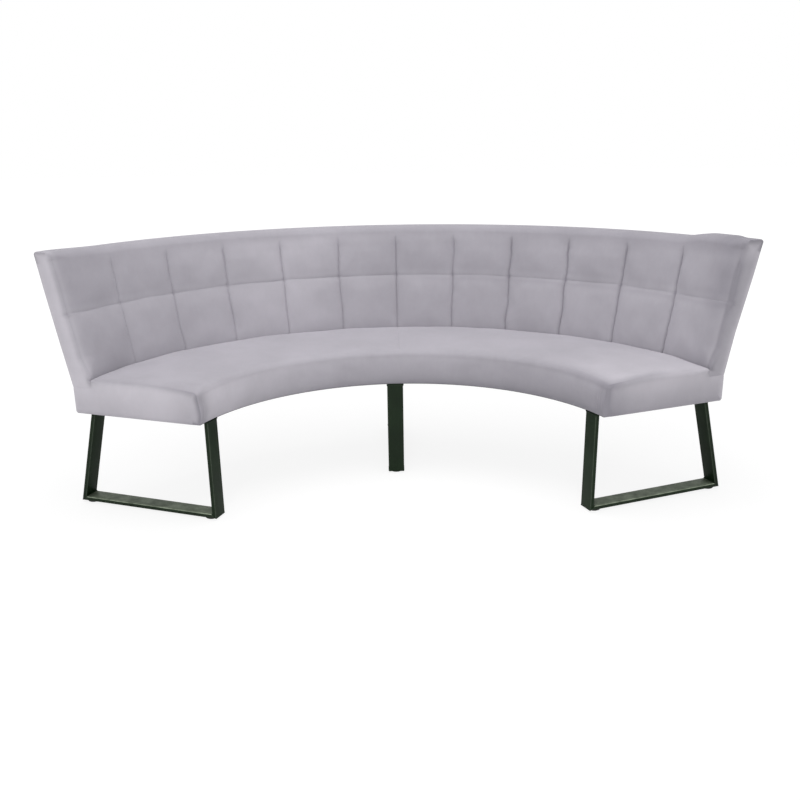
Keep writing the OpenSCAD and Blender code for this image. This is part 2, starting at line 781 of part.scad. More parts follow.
// Screws up into the plank and level into the rail, heads on the bracket's inner faces
module bracket_screw_pair_up(gap) {
  at_bracket_screws() translate([-bracket_d + bracket_d / 3, 0, -bracket_t])
    bracket_screw(gap);
}
module bracket_screw_pair_level(gap) {
  at_bracket_screws() translate([-bracket_t, 0, -bracket_h + bracket_h / 3])
    rotate([0, 90, 0]) bracket_screw(gap);
}
module back_brackets() {
  color(zinc) difference() {
    placed_brackets() union() {
      translate([-bracket_t, -bracket_w / 2, -bracket_h])
        cube([bracket_t, bracket_w, bracket_h]);
      translate([-bracket_d, -bracket_w / 2, -bracket_t])
        cube([bracket_d, bracket_w, bracket_t]);
    }
    placed_brackets() bracket_screw_pair_up(thread_gap);
    placed_brackets() bracket_screw_pair_level(thread_gap);
  }
}
module bracket_screws() {
  color(zinc) placed_brackets() {
    bracket_screw_pair_up(0);
    bracket_screw_pair_level(0);
  }
}

left_foot_bar();
left_front_upright();
left_rear_upright();
left_top_plate();
middle_foot_bar();
middle_front_upright();
middle_rear_upright();
middle_top_plate();
right_foot_bar();
right_front_upright();
right_rear_upright();
right_top_plate();
floor_glides();
leg_bolts();
leg_washers();
leg_tee_nuts();
left_leg_batten();
middle_leg_batten();
right_leg_batten();
seat_front_rail();
seat_rear_rail();
seat_left_end_rail();
seat_right_end_rail();
seat_cross_ribs();
seat_deck_left();
seat_deck_right();
deck_screws();
seat_foam_left();
seat_foam_right();
seat_cover_left();
seat_cover_right();
seat_left_end_cover();
seat_right_end_cover();
seat_rear_band();
underside_cloth();
back_base_plank();
back_posts();
back_left_end_post();
back_right_end_post();
back_top_rail();
back_rear_board();
back_front_ply();
back_foam_left();
back_foam_right();
back_cover_left();
back_cover_right();
back_rear_cover();
back_left_end_cover();
back_right_end_cover();
back_brackets();
bracket_screws();
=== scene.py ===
import math

import bpy
import numpy as np
from mathutils import Matrix, Vector
from mathutils.geometry import delaunay_2d_cdt


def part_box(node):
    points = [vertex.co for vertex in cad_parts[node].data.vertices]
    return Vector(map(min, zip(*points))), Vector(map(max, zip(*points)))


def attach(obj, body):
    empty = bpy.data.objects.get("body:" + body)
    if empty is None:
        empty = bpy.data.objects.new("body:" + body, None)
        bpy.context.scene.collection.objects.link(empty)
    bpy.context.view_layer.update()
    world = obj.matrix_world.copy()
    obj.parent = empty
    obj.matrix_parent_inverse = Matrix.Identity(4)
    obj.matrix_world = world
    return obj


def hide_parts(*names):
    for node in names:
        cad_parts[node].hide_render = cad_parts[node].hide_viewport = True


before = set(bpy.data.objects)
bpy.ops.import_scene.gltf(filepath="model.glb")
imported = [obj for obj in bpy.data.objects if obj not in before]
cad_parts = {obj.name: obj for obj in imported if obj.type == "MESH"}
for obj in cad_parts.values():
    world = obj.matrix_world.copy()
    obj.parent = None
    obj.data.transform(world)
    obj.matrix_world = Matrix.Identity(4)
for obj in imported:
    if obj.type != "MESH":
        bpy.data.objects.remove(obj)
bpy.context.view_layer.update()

# Camera
# It stands a little left of the middle, above the height of the back, and looks slightly
# down into the hollow of the bench. Place, angles and lens fit the photograph.
camera_place = (-0.0522, -3.1909, 1.2458)
yaw, pitch, roll = 0.0165, -0.2942, -0.0147
sensor, lens = 36.0, 38.76


def put_in_scene(name, data):
    """A new object with the given data, linked into the scene."""
    made = bpy.data.objects.new(name, data)
    bpy.context.scene.collection.objects.link(made)
    return made


camera = put_in_scene("camera", bpy.data.cameras.new("camera"))
camera.data.sensor_width, camera.data.lens = sensor, lens
level_turn = Matrix.Rotation(-yaw, 4, "Z") @ Matrix.Rotation(math.pi / 2 + pitch, 4, "X")
camera.matrix_world = Matrix.Translation(camera_place) @ level_turn @ Matrix.Rotation(roll, 4, "Z")
bpy.context.scene.camera = camera

# Leg frames
# Each of the three is a sled of flat steel tube, 60 by 15 mm: two uprights and a foot bar,
# mitred, welded and powder coated. Their feet lie along the radius of the bench's arc.
inner_radius, outer_radius = 0.705, 1.186
half_angle, back_lean = math.radians(69.6), math.radians(12.3)
back_start, back_top = 0.454, 0.900
rear_top_radius = outer_radius + (back_top - back_start) * math.tan(back_lean)
arc_centre_y = -(inner_radius * math.cos(half_angle) + rear_top_radius) / 2
tube_width, tube_depth, tube_wall = 0.060, 0.015, 0.002
tube_corner, bore_corner, corner_points = 0.0028, 0.001, 6
glide_thickness = 0.008
tube_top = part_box("left_front_upright")[1].z
upright_rise = tube_top - glide_thickness
foot_start, foot_length = 0.706, 0.554
front_splay, rear_splay = 0.002, 0.089
# Each upright's outer face at the floor, how it leans as it rises, and the way to its inner face
UPRIGHTS = {"front": (foot_start, front_splay, 1), "rear": (foot_start + foot_length, -rear_splay, -1)}
leg_middle_side, middle_shift = 0.051 + tube_width / 2, 0.018
# Each frame's angle in the arc and how far it stands beside that radius
LEGS = {
    "left": (-half_angle, -leg_middle_side),
    "middle": (0.0, middle_shift),
    "right": (half_angle, leg_middle_side)}
outer_rings, bore_rings = 9, 3
bead_radius, mitre_bead_radius, inside_bead_more, ripple_length = 0.0022, 0.0008, 0.0019, 0.0031
bead_sides = 8
paint_colour, rubbed_colour = (0.0068, 0.0170, 0.0060), (0.075, 0.092, 0.070)
# Painted light: these paler colours on the foot bars' upper faces stand for light falling from above
painted_light_dark, painted_light_pale = (0.106, 0.130, 0.094), (0.247, 0.290, 0.218)


def feed(tree, node, inputs):
    """Each named input of a node gets a link from a socket, or a fixed value."""
    for name, value in inputs.items():
        if isinstance(value, bpy.types.NodeSocket):
            tree.links.new(value, node.inputs[name])
        else:
            node.inputs[name].default_value = value


def add(tree, kind, inputs=None, **settings):
    """A new shader node of a kind, with its settings and then its inputs given."""
    node = tree.nodes.new("ShaderNode" + kind)
    for name, value in settings.items():
        setattr(node, name, value)
    feed(tree, node, inputs or {})
    return node


def shader(name, colour, roughness):
    """A new material, with its node tree, its Principled node and its Object coordinates."""
    made = bpy.data.materials.new(name)
    made.use_nodes = True
    tree = made.node_tree
    surface = tree.nodes["Principled BSDF"]
    feed(tree, surface, {"Base Color": (*colour, 1.0), "Roughness": roughness})
    return made, tree, surface, add(tree, "TexCoord").outputs["Object"]


def noise(tree, vector, scale, detail=2.0, roughness=0.5):
    """A noise texture on the given vector, in features per metre."""
    inputs = {"Vector": vector, "Scale": scale, "Detail": detail, "Roughness": roughness}
    return add(tree, "TexNoise", inputs).outputs["Fac"]


def ramp(tree, fac, *stops):
    """A colour ramp on fac through (place, linear colour) stops."""
    node = add(tree, "ValToRGB", {"Fac": fac})
    elements = node.color_ramp.elements
    while len(elements) < len(stops):
        elements.new(0.5)
    for element, (place, colour) in zip(elements, stops):
        element.position, element.color = place, (*colour, 1.0)
    return node.outputs["Color"]


def mixed(tree, factor, first, second, blend="MIX", clamped=True):
    """Two colours mixed by a factor, in one of Blender's ways of blending."""
    inputs = {"Factor": factor, "A": first, "B": second}
    return add(tree, "Mix", inputs, data_type="RGBA", blend_type=blend, clamp_factor=clamped).outputs["Result"]


def joined(tree, operation, first, second):
    """Two values made one by an operation, such as their product."""
    return add(tree, "Math", {0: first, 1: second}, operation=operation).outputs[0]


def attribute(tree, name):
    """A number that the mesh keeps at its points."""
    return add(tree, "Attribute", attribute_name=name).outputs["Fac"]


def bump(tree, surface, height, depth, before=None):
    """Bump of the given depth in metres on the surface's normal, over an earlier one."""
    node = add(tree, "Bump", {"Strength": 1.0, "Distance": depth, "Height": height})
    if before is not None:
        feed(tree, node, {"Normal": before})
    feed(tree, surface, {"Normal": node.outputs["Normal"]})
    return node.outputs["Normal"]


def shade(colour, share):
    """A colour lightened or darkened by a share of itself."""
    return tuple(c * share for c in colour)


def paint_material():
    """Powder coat: fine orange peel, faint cloudiness, thin rubbed edges, and painted light on the foot
    bars' upper faces: a paler mottled colour, brighter still on their rims as a painted highlight."""
    made, tree, surface, where = shader("leg_paint", paint_colour, 0.44)
    clouds = noise(tree, where, 9.0, 4.0)
    colour = ramp(tree, clouds, (0.35, shade(paint_colour, 0.82)), (0.65, shade(paint_colour, 1.22)))
    rubbed = joined(tree, "MULTIPLY", attribute(tree, "edge"), noise(tree, where, 140.0, 3.0))
    colour = mixed(tree, rubbed, colour, (*rubbed_colour, 1.0))
    painted_top_colour = ramp(tree, noise(tree, where, 24.0, 5.0, 0.65), (0.32, painted_light_dark), (0.68, painted_light_pale))
    # Painted light from above on the foot bars' upper faces, with a painted highlight on their rims
    colour = mixed(tree, attribute(tree, "painted_top_light"), colour, painted_top_colour, clamped=False)
    feed(tree, surface, {"Specular IOR Level": 0.18, "Base Color": colour})
    bump(tree, surface, noise(tree, where, 700.0, 1.0), 0.00012)
    return made


def layered(*parts):
    """Arrays or numbers brought to one shape and stacked as coordinates."""
    return np.stack(np.broadcast_arrays(*parts), axis=-1)


def unit(vectors):
    """Vectors brought to length 1."""
    return vectors / np.linalg.norm(vectors, axis=-1, keepdims=True)


def rounded_profile(width, depth, corner):
    """Points round a rectangle, centred across its width and starting at depth 0: quarter circles
    of the corner radius joined by straight sides. Also how far each point is into its corner: 0
    at both ends of the quarter circle, 1 in its middle."""
    turn = np.linspace(0, math.pi / 2, corner_points)
    points = []
    for k, (side, far) in enumerate([(1, 1), (-1, 1), (-1, 0), (1, 0)]):
        middle = np.array([side * (width / 2 - corner), depth - corner if far else corner])
        angle = turn + k * math.pi / 2
        points.append(middle + corner * layered(np.cos(angle), np.sin(angle)))
    into = np.sin(np.linspace(0, math.pi, corner_points)) ** 0.5
    return np.concatenate(points), np.tile(into, 4)


def leg_point(leg, radius, side, height):
    """A leg frame's own coordinates, outwards, across and up, turned to its place in the arc."""
    angle, side_middle = LEGS[leg]
    s = side_middle + side
    return layered(
        radius * math.sin(angle) - s * math.cos(angle),
        radius * math.cos(angle) + s * math.sin(angle) + arc_centre_y, height)


def cut(end, mitred, reach):
    """Radius and height of a tube's end at each depth from its outer face. The face leans with
    its splay; the cut follows the slant of the foot's mitre, or lies level under the plate."""
    foot, splay, inward = UPRIGHTS[end]
    height = glide_thickness + reach if mitred else tube_top + 0 * reach
    rise = (height - glide_thickness) / upright_rise
    return foot + splay * rise + inward * reach / math.cos(math.atan(splay / upright_rise)), height


def mesh_object(name, points, faces, material, marks=None, uv=None, sharp=40.0):
    """A mesh piece from points and faces. Faces are turned round if the volume they close is
    negative. marks become point attributes, uv a map, and edges past sharp degrees stay crisp."""
    first = points[faces[:, 0]]
    volume = sum(
        np.einsum("ij,ij->i", first, np.cross(points[faces[:, k]], points[faces[:, k + 1]])).sum()
        for k in range(1, faces.shape[1] - 1))
    if volume < 0:
        faces = faces[:, ::-1]
    mesh = bpy.data.meshes.new(name)
    mesh.from_pydata(points.tolist(), [], faces.tolist())
    if uv is not None:
        layer = mesh.uv_layers.new(name="fabric")
        layer.data.foreach_set("uv", uv[faces.ravel()].astype(np.float32).ravel())
    for key, values in (marks or {}).items():
        mesh.attributes.new(key, "FLOAT", "POINT").data.foreach_set("value", values.astype(np.float32))
    mesh.polygons.foreach_set("use_smooth", np.ones(len(faces), bool))
    mesh.set_sharp_from_angle(angle=math.radians(sharp))
    mesh.materials.append(material)
    mesh.update()
    return put_in_scene(name, mesh)


def hand_over(piece, node=None):
    """A piece rides on the bench's only body, and the frame's node that it replaces, where it has
    one, is hidden."""
    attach(piece, "root")
    if node is not None:
        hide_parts(node)


def give_finish(material, *names):
    """Nodes of the frame that stay in the picture get their material."""
    for name in names:
        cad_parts[name].data.materials.clear()
        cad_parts[name].data.materials.append(material)


def ring_faces(rings, count):
    """Quads between rings of count points each, the last ring joined to the first."""
    i, j = np.arange(rings)[:, None], np.arange(count)[None, :]
    k, l = (i + 1) % rings, (j + 1) % count
    return np.stack([i * count + j, k * count + j, k * count + l, i * count + l], axis=-1).reshape(-1, 4)


def repeated(faces, count):
    """The faces of one part, numbered on for a count of like parts."""
    return np.concatenate([faces + k * (faces.max() + 1) for k in range(count)])


def tube_length(leg, member, start, end):
    """A hollow flat tube: the outer profile is carried from its start cut to its end cut, the
    inner one back again. A foot bar carries painted light from above: 1 on its upper face, more
    on that face's rounded rims as a painted highlight, and a trace on its sides."""
    outer, into_corner = rounded_profile(tube_width, tube_depth, tube_corner)
    bore, _ = rounded_profile(tube_width - 2 * tube_wall, tube_depth - 2 * tube_wall, bore_corner)
    walls = (outer, np.linspace(0, 1, outer_rings)), (bore + [0.0, tube_wall], np.linspace(1, 0, bore_rings))
    rings = []
    for profile, shares in walls:
        (r0, h0), (r1, h1) = cut(*start, profile[:, 1]), cut(*end, profile[:, 1])
        rings += [leg_point(leg, r0 + (r1 - r0) * s, profile[:, 0], h0 + (h1 - h0) * s) for s in shares]
    drop = (tube_depth - outer[:, 1]) / tube_corner
    # Painted light: 1 on a foot bar's upper face, 1.7 on its rims as a painted highlight
    painted_top_light = np.select([drop < 0.02, drop < 0.98], [1.0, 1.7], 0.05) * (member == "foot_bar")
    marks = {
        name: np.concatenate([np.tile(values, outer_rings), np.tile(values * 0, bore_rings)])
        for name, values in (("edge", into_corner), ("painted_top_light", painted_top_light))}
    faces = ring_faces(outer_rings + bore_rings, len(outer))
    return mesh_object(f"{leg}_{member}_tube", np.concatenate(rings), faces, leg_paint, marks)


def weld_bead(leg, line, thick):
    """A bead along a closed line of (radius, side, height): a small round section whose size
    swells and shrinks as the weld ripples; thick gives its radius along the line."""
    ahead = unit(np.roll(line, -1, axis=0) - np.roll(line, 1, axis=0))
    out = line - line.mean(axis=0)
    out = unit(out - ahead * np.einsum("ij,ij->i", out, ahead)[:, None])
    turn = np.linspace(0, 2 * math.pi, bead_sides, endpoint=False)[None, :, None]
    section = np.cos(turn) * out[:, None] + np.sin(turn) * np.cross(ahead, out)[:, None]
    points = line[:, None] + section * thick[:, None, None]
    return leg_point(leg, points[..., 0], points[..., 1], points[..., 2]).reshape(-1, 3)


leg_paint = paint_material()
MEMBERS = {
    "front_upright": (("front", True), ("front", False)),
    "rear_upright": (("rear", True), ("rear", False)),
    "foot_bar": (("front", True), ("rear", True))}
profile_line, _ = rounded_profile(tube_width, tube_depth, tube_corner)
bead_steps = np.linspace(0, 1, 12, endpoint=False)[:, None]
fine_line = profile_line[:, None] + (np.roll(profile_line, -1, axis=0) - profile_line)[:, None] * bead_steps
fine_line = fine_line.reshape(-1, 2)
along_bead = np.cumsum(np.linalg.norm(np.roll(fine_line, -1, axis=0) - fine_line, axis=1))
ripple = 1 + 0.16 * np.sin(2 * math.pi * along_bead / ripple_length)
mitre_bead = mitre_bead_radius + inside_bead_more * (fine_line[:, 1] > tube_depth * 0.93)
for leg in LEGS:
    for member, cuts in MEMBERS.items():
        hand_over(tube_length(leg, member, *cuts), f"{leg}_{member}")
    beads = []
    for mitred, thick in ((True, mitre_bead), (False, bead_radius)):
        for end in UPRIGHTS:
            radius, height = cut(end, mitred, fine_line[:, 1])
            beads.append(weld_bead(leg, layered(radius, fine_line[:, 0], height), thick * ripple))
    bead_faces = repeated(ring_faces(len(fine_line), bead_sides), len(beads))
    points = np.concatenate(beads)
    welds = mesh_object(f"{leg}_frame_welds", points, bead_faces, leg_paint, {"edge": np.zeros(len(points))})
    hand_over(welds)
    give_finish(leg_paint, f"{leg}_top_plate")

# Floor glides
# Two black nylon buttons press into each foot bar. They are moulded with a soft rim, and
# the bench stands on them.
glide_radius, stem_radius, glide_inset, glide_sides = 0.024, 0.003, 0.032, 48
# The button's outline in shares of its radius and thickness, and its stem's outline in shares
# of the stem's radius and the tube's wall
pad_shares = [(0, 0), (0.80, 0), (0.90, 0.05), (0.97, 0.18), (1.0, 0.4), (1.0, 0.8), (0.98, 0.94), (0.94, 1.0)]
stem_shares = [(1.0, 0.0), (1.0, 1.6), (0.6, 2.0), (0.0, 2.0)]
glide_places = foot_start + glide_inset, foot_start + foot_length - glide_inset


def mottled_material(name, colour, roughness, mottle, stops, depth, grain=None, metallic=0.0):
    """A plain material: a noise drives its colour through a ramp, and the grain, or else the same
    noise, its bump. Each noise is its features per metre, detail and roughness."""
    made, tree, surface, where = shader(name, colour, roughness)
    clouds = noise(tree, where, *mottle)
    feed(tree, surface, {"Base Color": ramp(tree, clouds, *stops), "Metallic": metallic})
    bump(tree, surface, noise(tree, where, *grain) if grain else clouds, depth)
    return made


def nylon_material():
    """Moulded nylon: dark, slightly glossy, with fine scuffs from the floor."""
    stops = (0.45, (0.010, 0.010, 0.011)), (0.75, (0.03, 0.03, 0.032))
    return mottled_material("glide_nylon", (0.012, 0.012, 0.013), 0.45, (260.0, 4.0), stops, 0.0001)


glide_profile = np.concatenate([
    np.array(pad_shares) * [glide_radius, glide_thickness],
    np.array(stem_shares) * [stem_radius, tube_wall] + [0.0, glide_thickness]])
glide_out, glide_up = np.maximum(glide_profile[:, :1], 0.0001), glide_profile[:, 1:]
around = np.linspace(0, 2 * math.pi, glide_sides, endpoint=False)
glide_x, glide_y = glide_out * np.cos(around), glide_out * np.sin(around)
glide_points = [
    leg_point(leg, radius + glide_x, glide_y, glide_up).reshape(-1, 3)
    for leg in LEGS for radius in glide_places]
glide_faces = repeated(ring_faces(len(glide_profile), glide_sides), len(glide_points))
glides = mesh_object("nylon_glides", np.concatenate(glide_points), glide_faces, nylon_material())
hand_over(glides, "floor_glides")

# Bolts, washers, tee nuts, screws and brackets
# Zinc plated steel. Four bolts a leg frame pass its plate, the batten and a tee nut; angle
# brackets and wood screws tie the back to the seat.


def zinc_material():
    """Zinc plate: bright grey steel, a little cloudy, with fine grain."""
    stops = (0.3, (0.50, 0.50, 0.49)), (0.7, (0.72, 0.72, 0.69))
    return mottled_material(
        "zinc_plate", (0.62, 0.62, 0.60), 0.34, (120.0, 4.0), stops, 0.00004, (1500.0, 2.0), metallic=1.0)


zinc = zinc_material()
give_finish(zinc, "leg_bolts", "leg_washers", "leg_tee_nuts", "deck_screws", "back_brackets", "bracket_screws")

# Timber frame and plywood
# Rails, ribs, battens and posts are planed softwood; the deck, the rear board and the bent
# front of the back are birch plywood. Glue and screws hold them.


def wood_material(name, pale, dark, grain, plies=0.0):
    """Wood: noise squeezed along Z, so that its grain runs level, and thin level stripes over it
    where there are plies."""
    made, tree, surface, where = shader(name, pale, 0.62)
    squeezed = add(tree, "Mapping", {"Vector": where, "Scale": (1.0, 1.0, grain)}).outputs["Vector"]
    fibres = noise(tree, squeezed, 22.0, 6.0, 0.6)
    colour = ramp(tree, fibres, (0.3, dark), (0.62, pale))
    if plies:
        stripes = add(tree, "TexWave", {"Vector": where, "Scale": plies}, bands_direction="Z").outputs["Color"]
        colour = mixed(tree, 0.25, colour, stripes, "MULTIPLY")
    feed(tree, surface, {"Base Color": colour})
    bump(tree, surface, fibres, 0.0003)
    return made


give_finish(
    wood_material("planed_softwood", (0.56, 0.36, 0.18), (0.40, 0.23, 0.10), 9.0),
    "left_leg_batten", "middle_leg_batten", "right_leg_batten", "seat_front_rail", "seat_rear_rail",
    "seat_left_end_rail", "seat_right_end_rail", "seat_cross_ribs", "back_base_plank", "back_posts",
    "back_left_end_post", "back_right_end_post", "back_top_rail")
give_finish(
    wood_material("birch_ply", (0.62, 0.45, 0.26), (0.50, 0.34, 0.18), 4.0, 210.0),
    "seat_deck_left", "seat_deck_right", "back_rear_board", "back_front_ply")

# Upholstery fabric
# A soft matte velour in light mauve grey, one cloth for all covers. Its colour holds the pile's
# lie with painted light and shade: lighter on top, darker on faces that look down and in creases.
fabric_colour = (0.390, 0.374, 0.412)


def fabric_material():
    """Velour: cloudy pile with brushed streaks, a fine woven grain on the cloth's own map, sheen
    at grazing angles. A point attribute holds the pile's lie with painted light and shade: 0 darkest, 1
    lightest."""
    made, tree, surface, where = shader("velour", fabric_colour, 0.86)
    woven = add(tree, "UVMap", uv_map="fabric").outputs["UV"]
    brushed = add(tree, "Mapping", {"Vector": woven, "Scale": (1.0, 0.35, 1.0)}).outputs["Vector"]
    clouds = ramp(tree, noise(tree, where, 5.5, 5.0, 0.62),
                  (0.36, shade(fabric_colour, 0.955)), (0.64, shade(fabric_colour, 1.045)))
    streaks = ramp(tree, noise(tree, brushed, 55.0, 4.0, 0.6), (0.3, (0.988,) * 3), (0.7, (1.012,) * 3))
    # Painted light and shade: the point attribute darkens or lightens the velour where light and shade fall
    pile_with_painted_shading = ramp(tree, attribute(tree, "nap_with_painted_shading"),
                (0.0, (0.64, 0.64, 0.655)), (0.5, (1.0, 1.0, 1.0)), (1.0, (1.48, 1.48, 1.46)))
    colour = mixed(tree, 1.0, clouds, streaks, "MULTIPLY")
    feed(tree, surface, {
        "Base Color": mixed(tree, 1.0, colour, pile_with_painted_shading, "MULTIPLY"), "Specular IOR Level": 0.18,
        "Sheen Weight": 0.22, "Sheen Roughness": 0.45, "Sheen Tint": (0.93, 0.91, 0.98, 1.0)})
    weave = {"Vector": woven, "Scale": 260.0, "Distortion": 1.2, "Detail Scale": 2.0}
    threads = [add(tree, "TexWave", weave, bands_direction=way).outputs["Fac"] for way in ("X", "Y")]
    first = bump(tree, surface, joined(tree, "MULTIPLY", *threads), 0.00010)
    bump(tree, surface, noise(tree, where, 420.0, 3.0, 0.7), 0.00030, first)
    return made


velour = fabric_material()

# Seat foam
# One slab of firm foam lies on each half of the deck, crowned on top and rounded at the
# front edge. It is glued down, and the cover is drawn over it.
end_cover_angle = math.radians(0.5)
body_half = half_angle - end_cover_angle
seat_edge, junction, seat_crown, end_fall, fall_power = 0.487, 0.492, 0.009, 0.010, 8
front_bulge, front_edge_radius, rear_edge_radius = 0.0075, 0.020, 0.010
hem_height, hem_width, hem_corner = 0.361, 0.028, 0.004
deck_top, just_above = 0.432, 0.0005
cover_thickness, drawn_thin, foam_gap = 0.003, 0.0004, 0.0014
back_depth, seat_crease = 0.062, 0.005
# Pleats in the front face beside each end seam: place before it, width, depth and top
PLEATS = {
    -1: [(0.009, 0.0025, 0.0020, 0.462), (0.020, 0.0050, 0.0012, 0.448)],
    1: [(0.010, 0.0025, 0.0015, 0.455), (0.020, 0.0030, 0.0015, 0.450), (0.034, 0.0040, 0.0012, 0.445)],
}


def foam_material():
    """Open-cell foam: pale yellow, finely pitted, a little browned in patches."""
    made, tree, surface, where = shader("open_foam", (0.78, 0.70, 0.48), 0.95)
    stops = (0.3, (0.70, 0.61, 0.40)), (0.7, (0.80, 0.73, 0.52))
    feed(tree, surface, {"Base Color": ramp(tree, noise(tree, where, 12.0, 3.0), *stops)})
    cells = add(tree, "TexVoronoi", {"Vector": where, "Scale": 900.0}).outputs["Distance"]
    bump(tree, surface, cells, 0.0004)
    return made


def arc_place(radius, angle, height):
    """A point of the bench from its radius and angle in the arc and its height."""
    return layered(radius * np.sin(angle), radius * np.cos(angle) + arc_centre_y, height)


def seat_height(back_share, arc_share):
    """The seat's top: a line from front edge to back, a parabola's crown on it, and a drop that
    grows with a high power of the way to the end."""
    line = seat_edge + (junction - seat_edge) * back_share
    return line + seat_crown * 4 * back_share * (1 - back_share) - end_fall * arc_share ** fall_power


def back_radius(depth, height):
    """Radius of a point of the back from its depth in front of the leaning rear face."""
    return outer_radius + (height - back_start) * math.tan(back_lean) - depth


def steps(count, end=1.0):
    """Even steps from 0 towards the end, which the next stretch begins with."""
    return np.linspace(0, end, count)[:-1]


def seat_section(arc_share, inset):
    """The seat cushion's outline at each arc share, inset evenly: up the rear wall, round its
    edge, over the crown, round the front edge, down the swelling face and under it."""
    share = arc_share[:, None]
    rear_h, front_h = seat_height(1.0, share) - inset, seat_height(0.0, share) - inset
    front_r, rear_r = front_edge_radius - inset, rear_edge_radius - inset
    wall, face = back_depth + seat_crease + inset, inner_radius + inset
    rise, run, fall, under = steps(12), steps(80), steps(30), np.linspace(0, 1, 8)
    turn, bend = steps(12, math.pi / 2), steps(20, math.pi / 2)
    wall_h = deck_top + (rear_h - rear_r - deck_top) * rise
    top0, top1 = back_radius(wall, rear_h) - rear_r, face + front_r
    corner = max(hem_corner - inset, 0.0005)
    low = hem_height + inset * 0.55
    stretches = [
        (back_radius(wall, wall_h), wall_h),
        (top0 + rear_r * np.cos(turn), rear_h - rear_r * (1 - np.sin(turn))),
        (top0 + (top1 - top0) * run, seat_height(1 - run, share) - inset),
        (top1 - front_r * np.sin(bend), front_h - front_r * (1 - np.cos(bend))),
        (face - front_bulge * np.sin(math.pi * fall ** 1.25),
         front_h - front_r + (low + corner - front_h + front_r) * fall),
        (face + corner * (1 - np.cos(turn)), low + corner * (1 - np.sin(turn))),
        (face + corner + (hem_width - corner - inset) * under, low)]
    return np.concatenate([layered(radius + 0 * share, height) for radius, height in stretches], axis=1)


def run_length(line):
    """Length along a line of points, from its start to each point."""
    return np.concatenate([[0.0], np.cumsum(np.linalg.norm(np.diff(line, axis=0), axis=1))])


def picked(values, places, lengths):
    """Points along their second axis, taken at the given lengths by straight interpolation."""
    k = np.clip(np.searchsorted(lengths, places, side="right") - 1, 0, len(lengths) - 2)
    share = ((places - lengths[k]) / (lengths[k + 1] - lengths[k]))[None, :, None]
    return values[:, k] * (1 - share) + values[:, k + 1] * share


def outward(section):
    """Outward normals of outlines that run with the filling on their left-hand side."""
    ahead = unit(np.gradient(section, axis=1))
    return layered(ahead[..., 1], -ahead[..., 0])


def grid_quads(n, m):
    """Quads of a grid of n by m points."""
    index = np.arange(n * m).reshape(n, m)
    return np.stack([index[:-1, :-1], index[1:, :-1], index[1:, 1:], index[:-1, 1:]], axis=-1).reshape(-1, 4)


def closed_shell(name, outer, inner, material, nap_with_painted_shading=0.5, uv=None, sharp=50.0):
    """A closed skin from two like grids of points: the outer one, the inner one turned over, and
    strips that join their four edges. The pile value given holds the pile's lie with painted light
    and shade, uv the cloth's map in metres."""
    n, m = outer.shape[:2]
    index = np.arange(n * m).reshape(n, m)
    rim = np.concatenate([index[0, :-1], index[:-1, -1], index[-1, :0:-1], index[:0:-1, 0]])
    ahead = np.roll(rim, -1)
    strip = np.stack([rim, ahead, ahead + n * m, rim + n * m], axis=-1)
    sheet = grid_quads(n, m)
    faces = np.concatenate([sheet, sheet[:, ::-1] + n * m, strip])
    points = np.concatenate([outer.reshape(-1, 3), inner.reshape(-1, 3)])
    pile_with_painted_shading = np.broadcast_to(np.asarray(nap_with_painted_shading, float), (n, m)).ravel()
    if uv is None:
        across = np.linalg.norm(outer[:, m // 2] - outer[0, m // 2], axis=-1)
        uv = layered(across[:, None], run_length(outer[n // 2]))
    uv = np.concatenate([uv.reshape(-1, 2)] * 2)
    return mesh_object(name, points, faces, material, {"nap_with_painted_shading": np.concatenate([pile_with_painted_shading, pile_with_painted_shading])}, uv, sharp)


def end_drop(from_end, across, along):
    """How far a face has rounded away where it lies from_end before the end plane: a quarter
    ellipse, across deep and along long, and nothing beyond it."""
    rest = np.clip(1 - from_end / along, 0, 1)
    return across * (1 - np.sqrt(1 - rest ** 2))


def waves(u, v, seed, longest, count):
    """Soft unevenness: a sum of plane waves with seeded directions and phases, lengths from the
    longest down to its third, scaled to stay near 1."""
    rng = np.random.default_rng(seed)
    total = 0
    for _ in range(count):
        angle, phase = rng.uniform(0, math.pi), rng.uniform(0, 2 * math.pi)
        length = longest * rng.uniform(0.33, 1.0)
        total = total + np.sin(2 * math.pi * (u * math.cos(angle) + v * math.sin(angle)) / length + phase)
    return total / math.sqrt(count)


def part_way(value, start, run):
    """How far a value is past the start of a run, held within 0 and 1."""
    return np.clip((value - start) / run, 0, 1)


def eased(share):
    """A share held within 0 and 1 and eased at both: 3 s squared less 2 s cubed."""
    share = np.clip(share, 0, 1)
    return share * share * (3 - 2 * share)


def bell(distance, width):
    """1 at no distance, falling as the exponential of minus its square."""
    return np.exp(-(distance / width) ** 2)


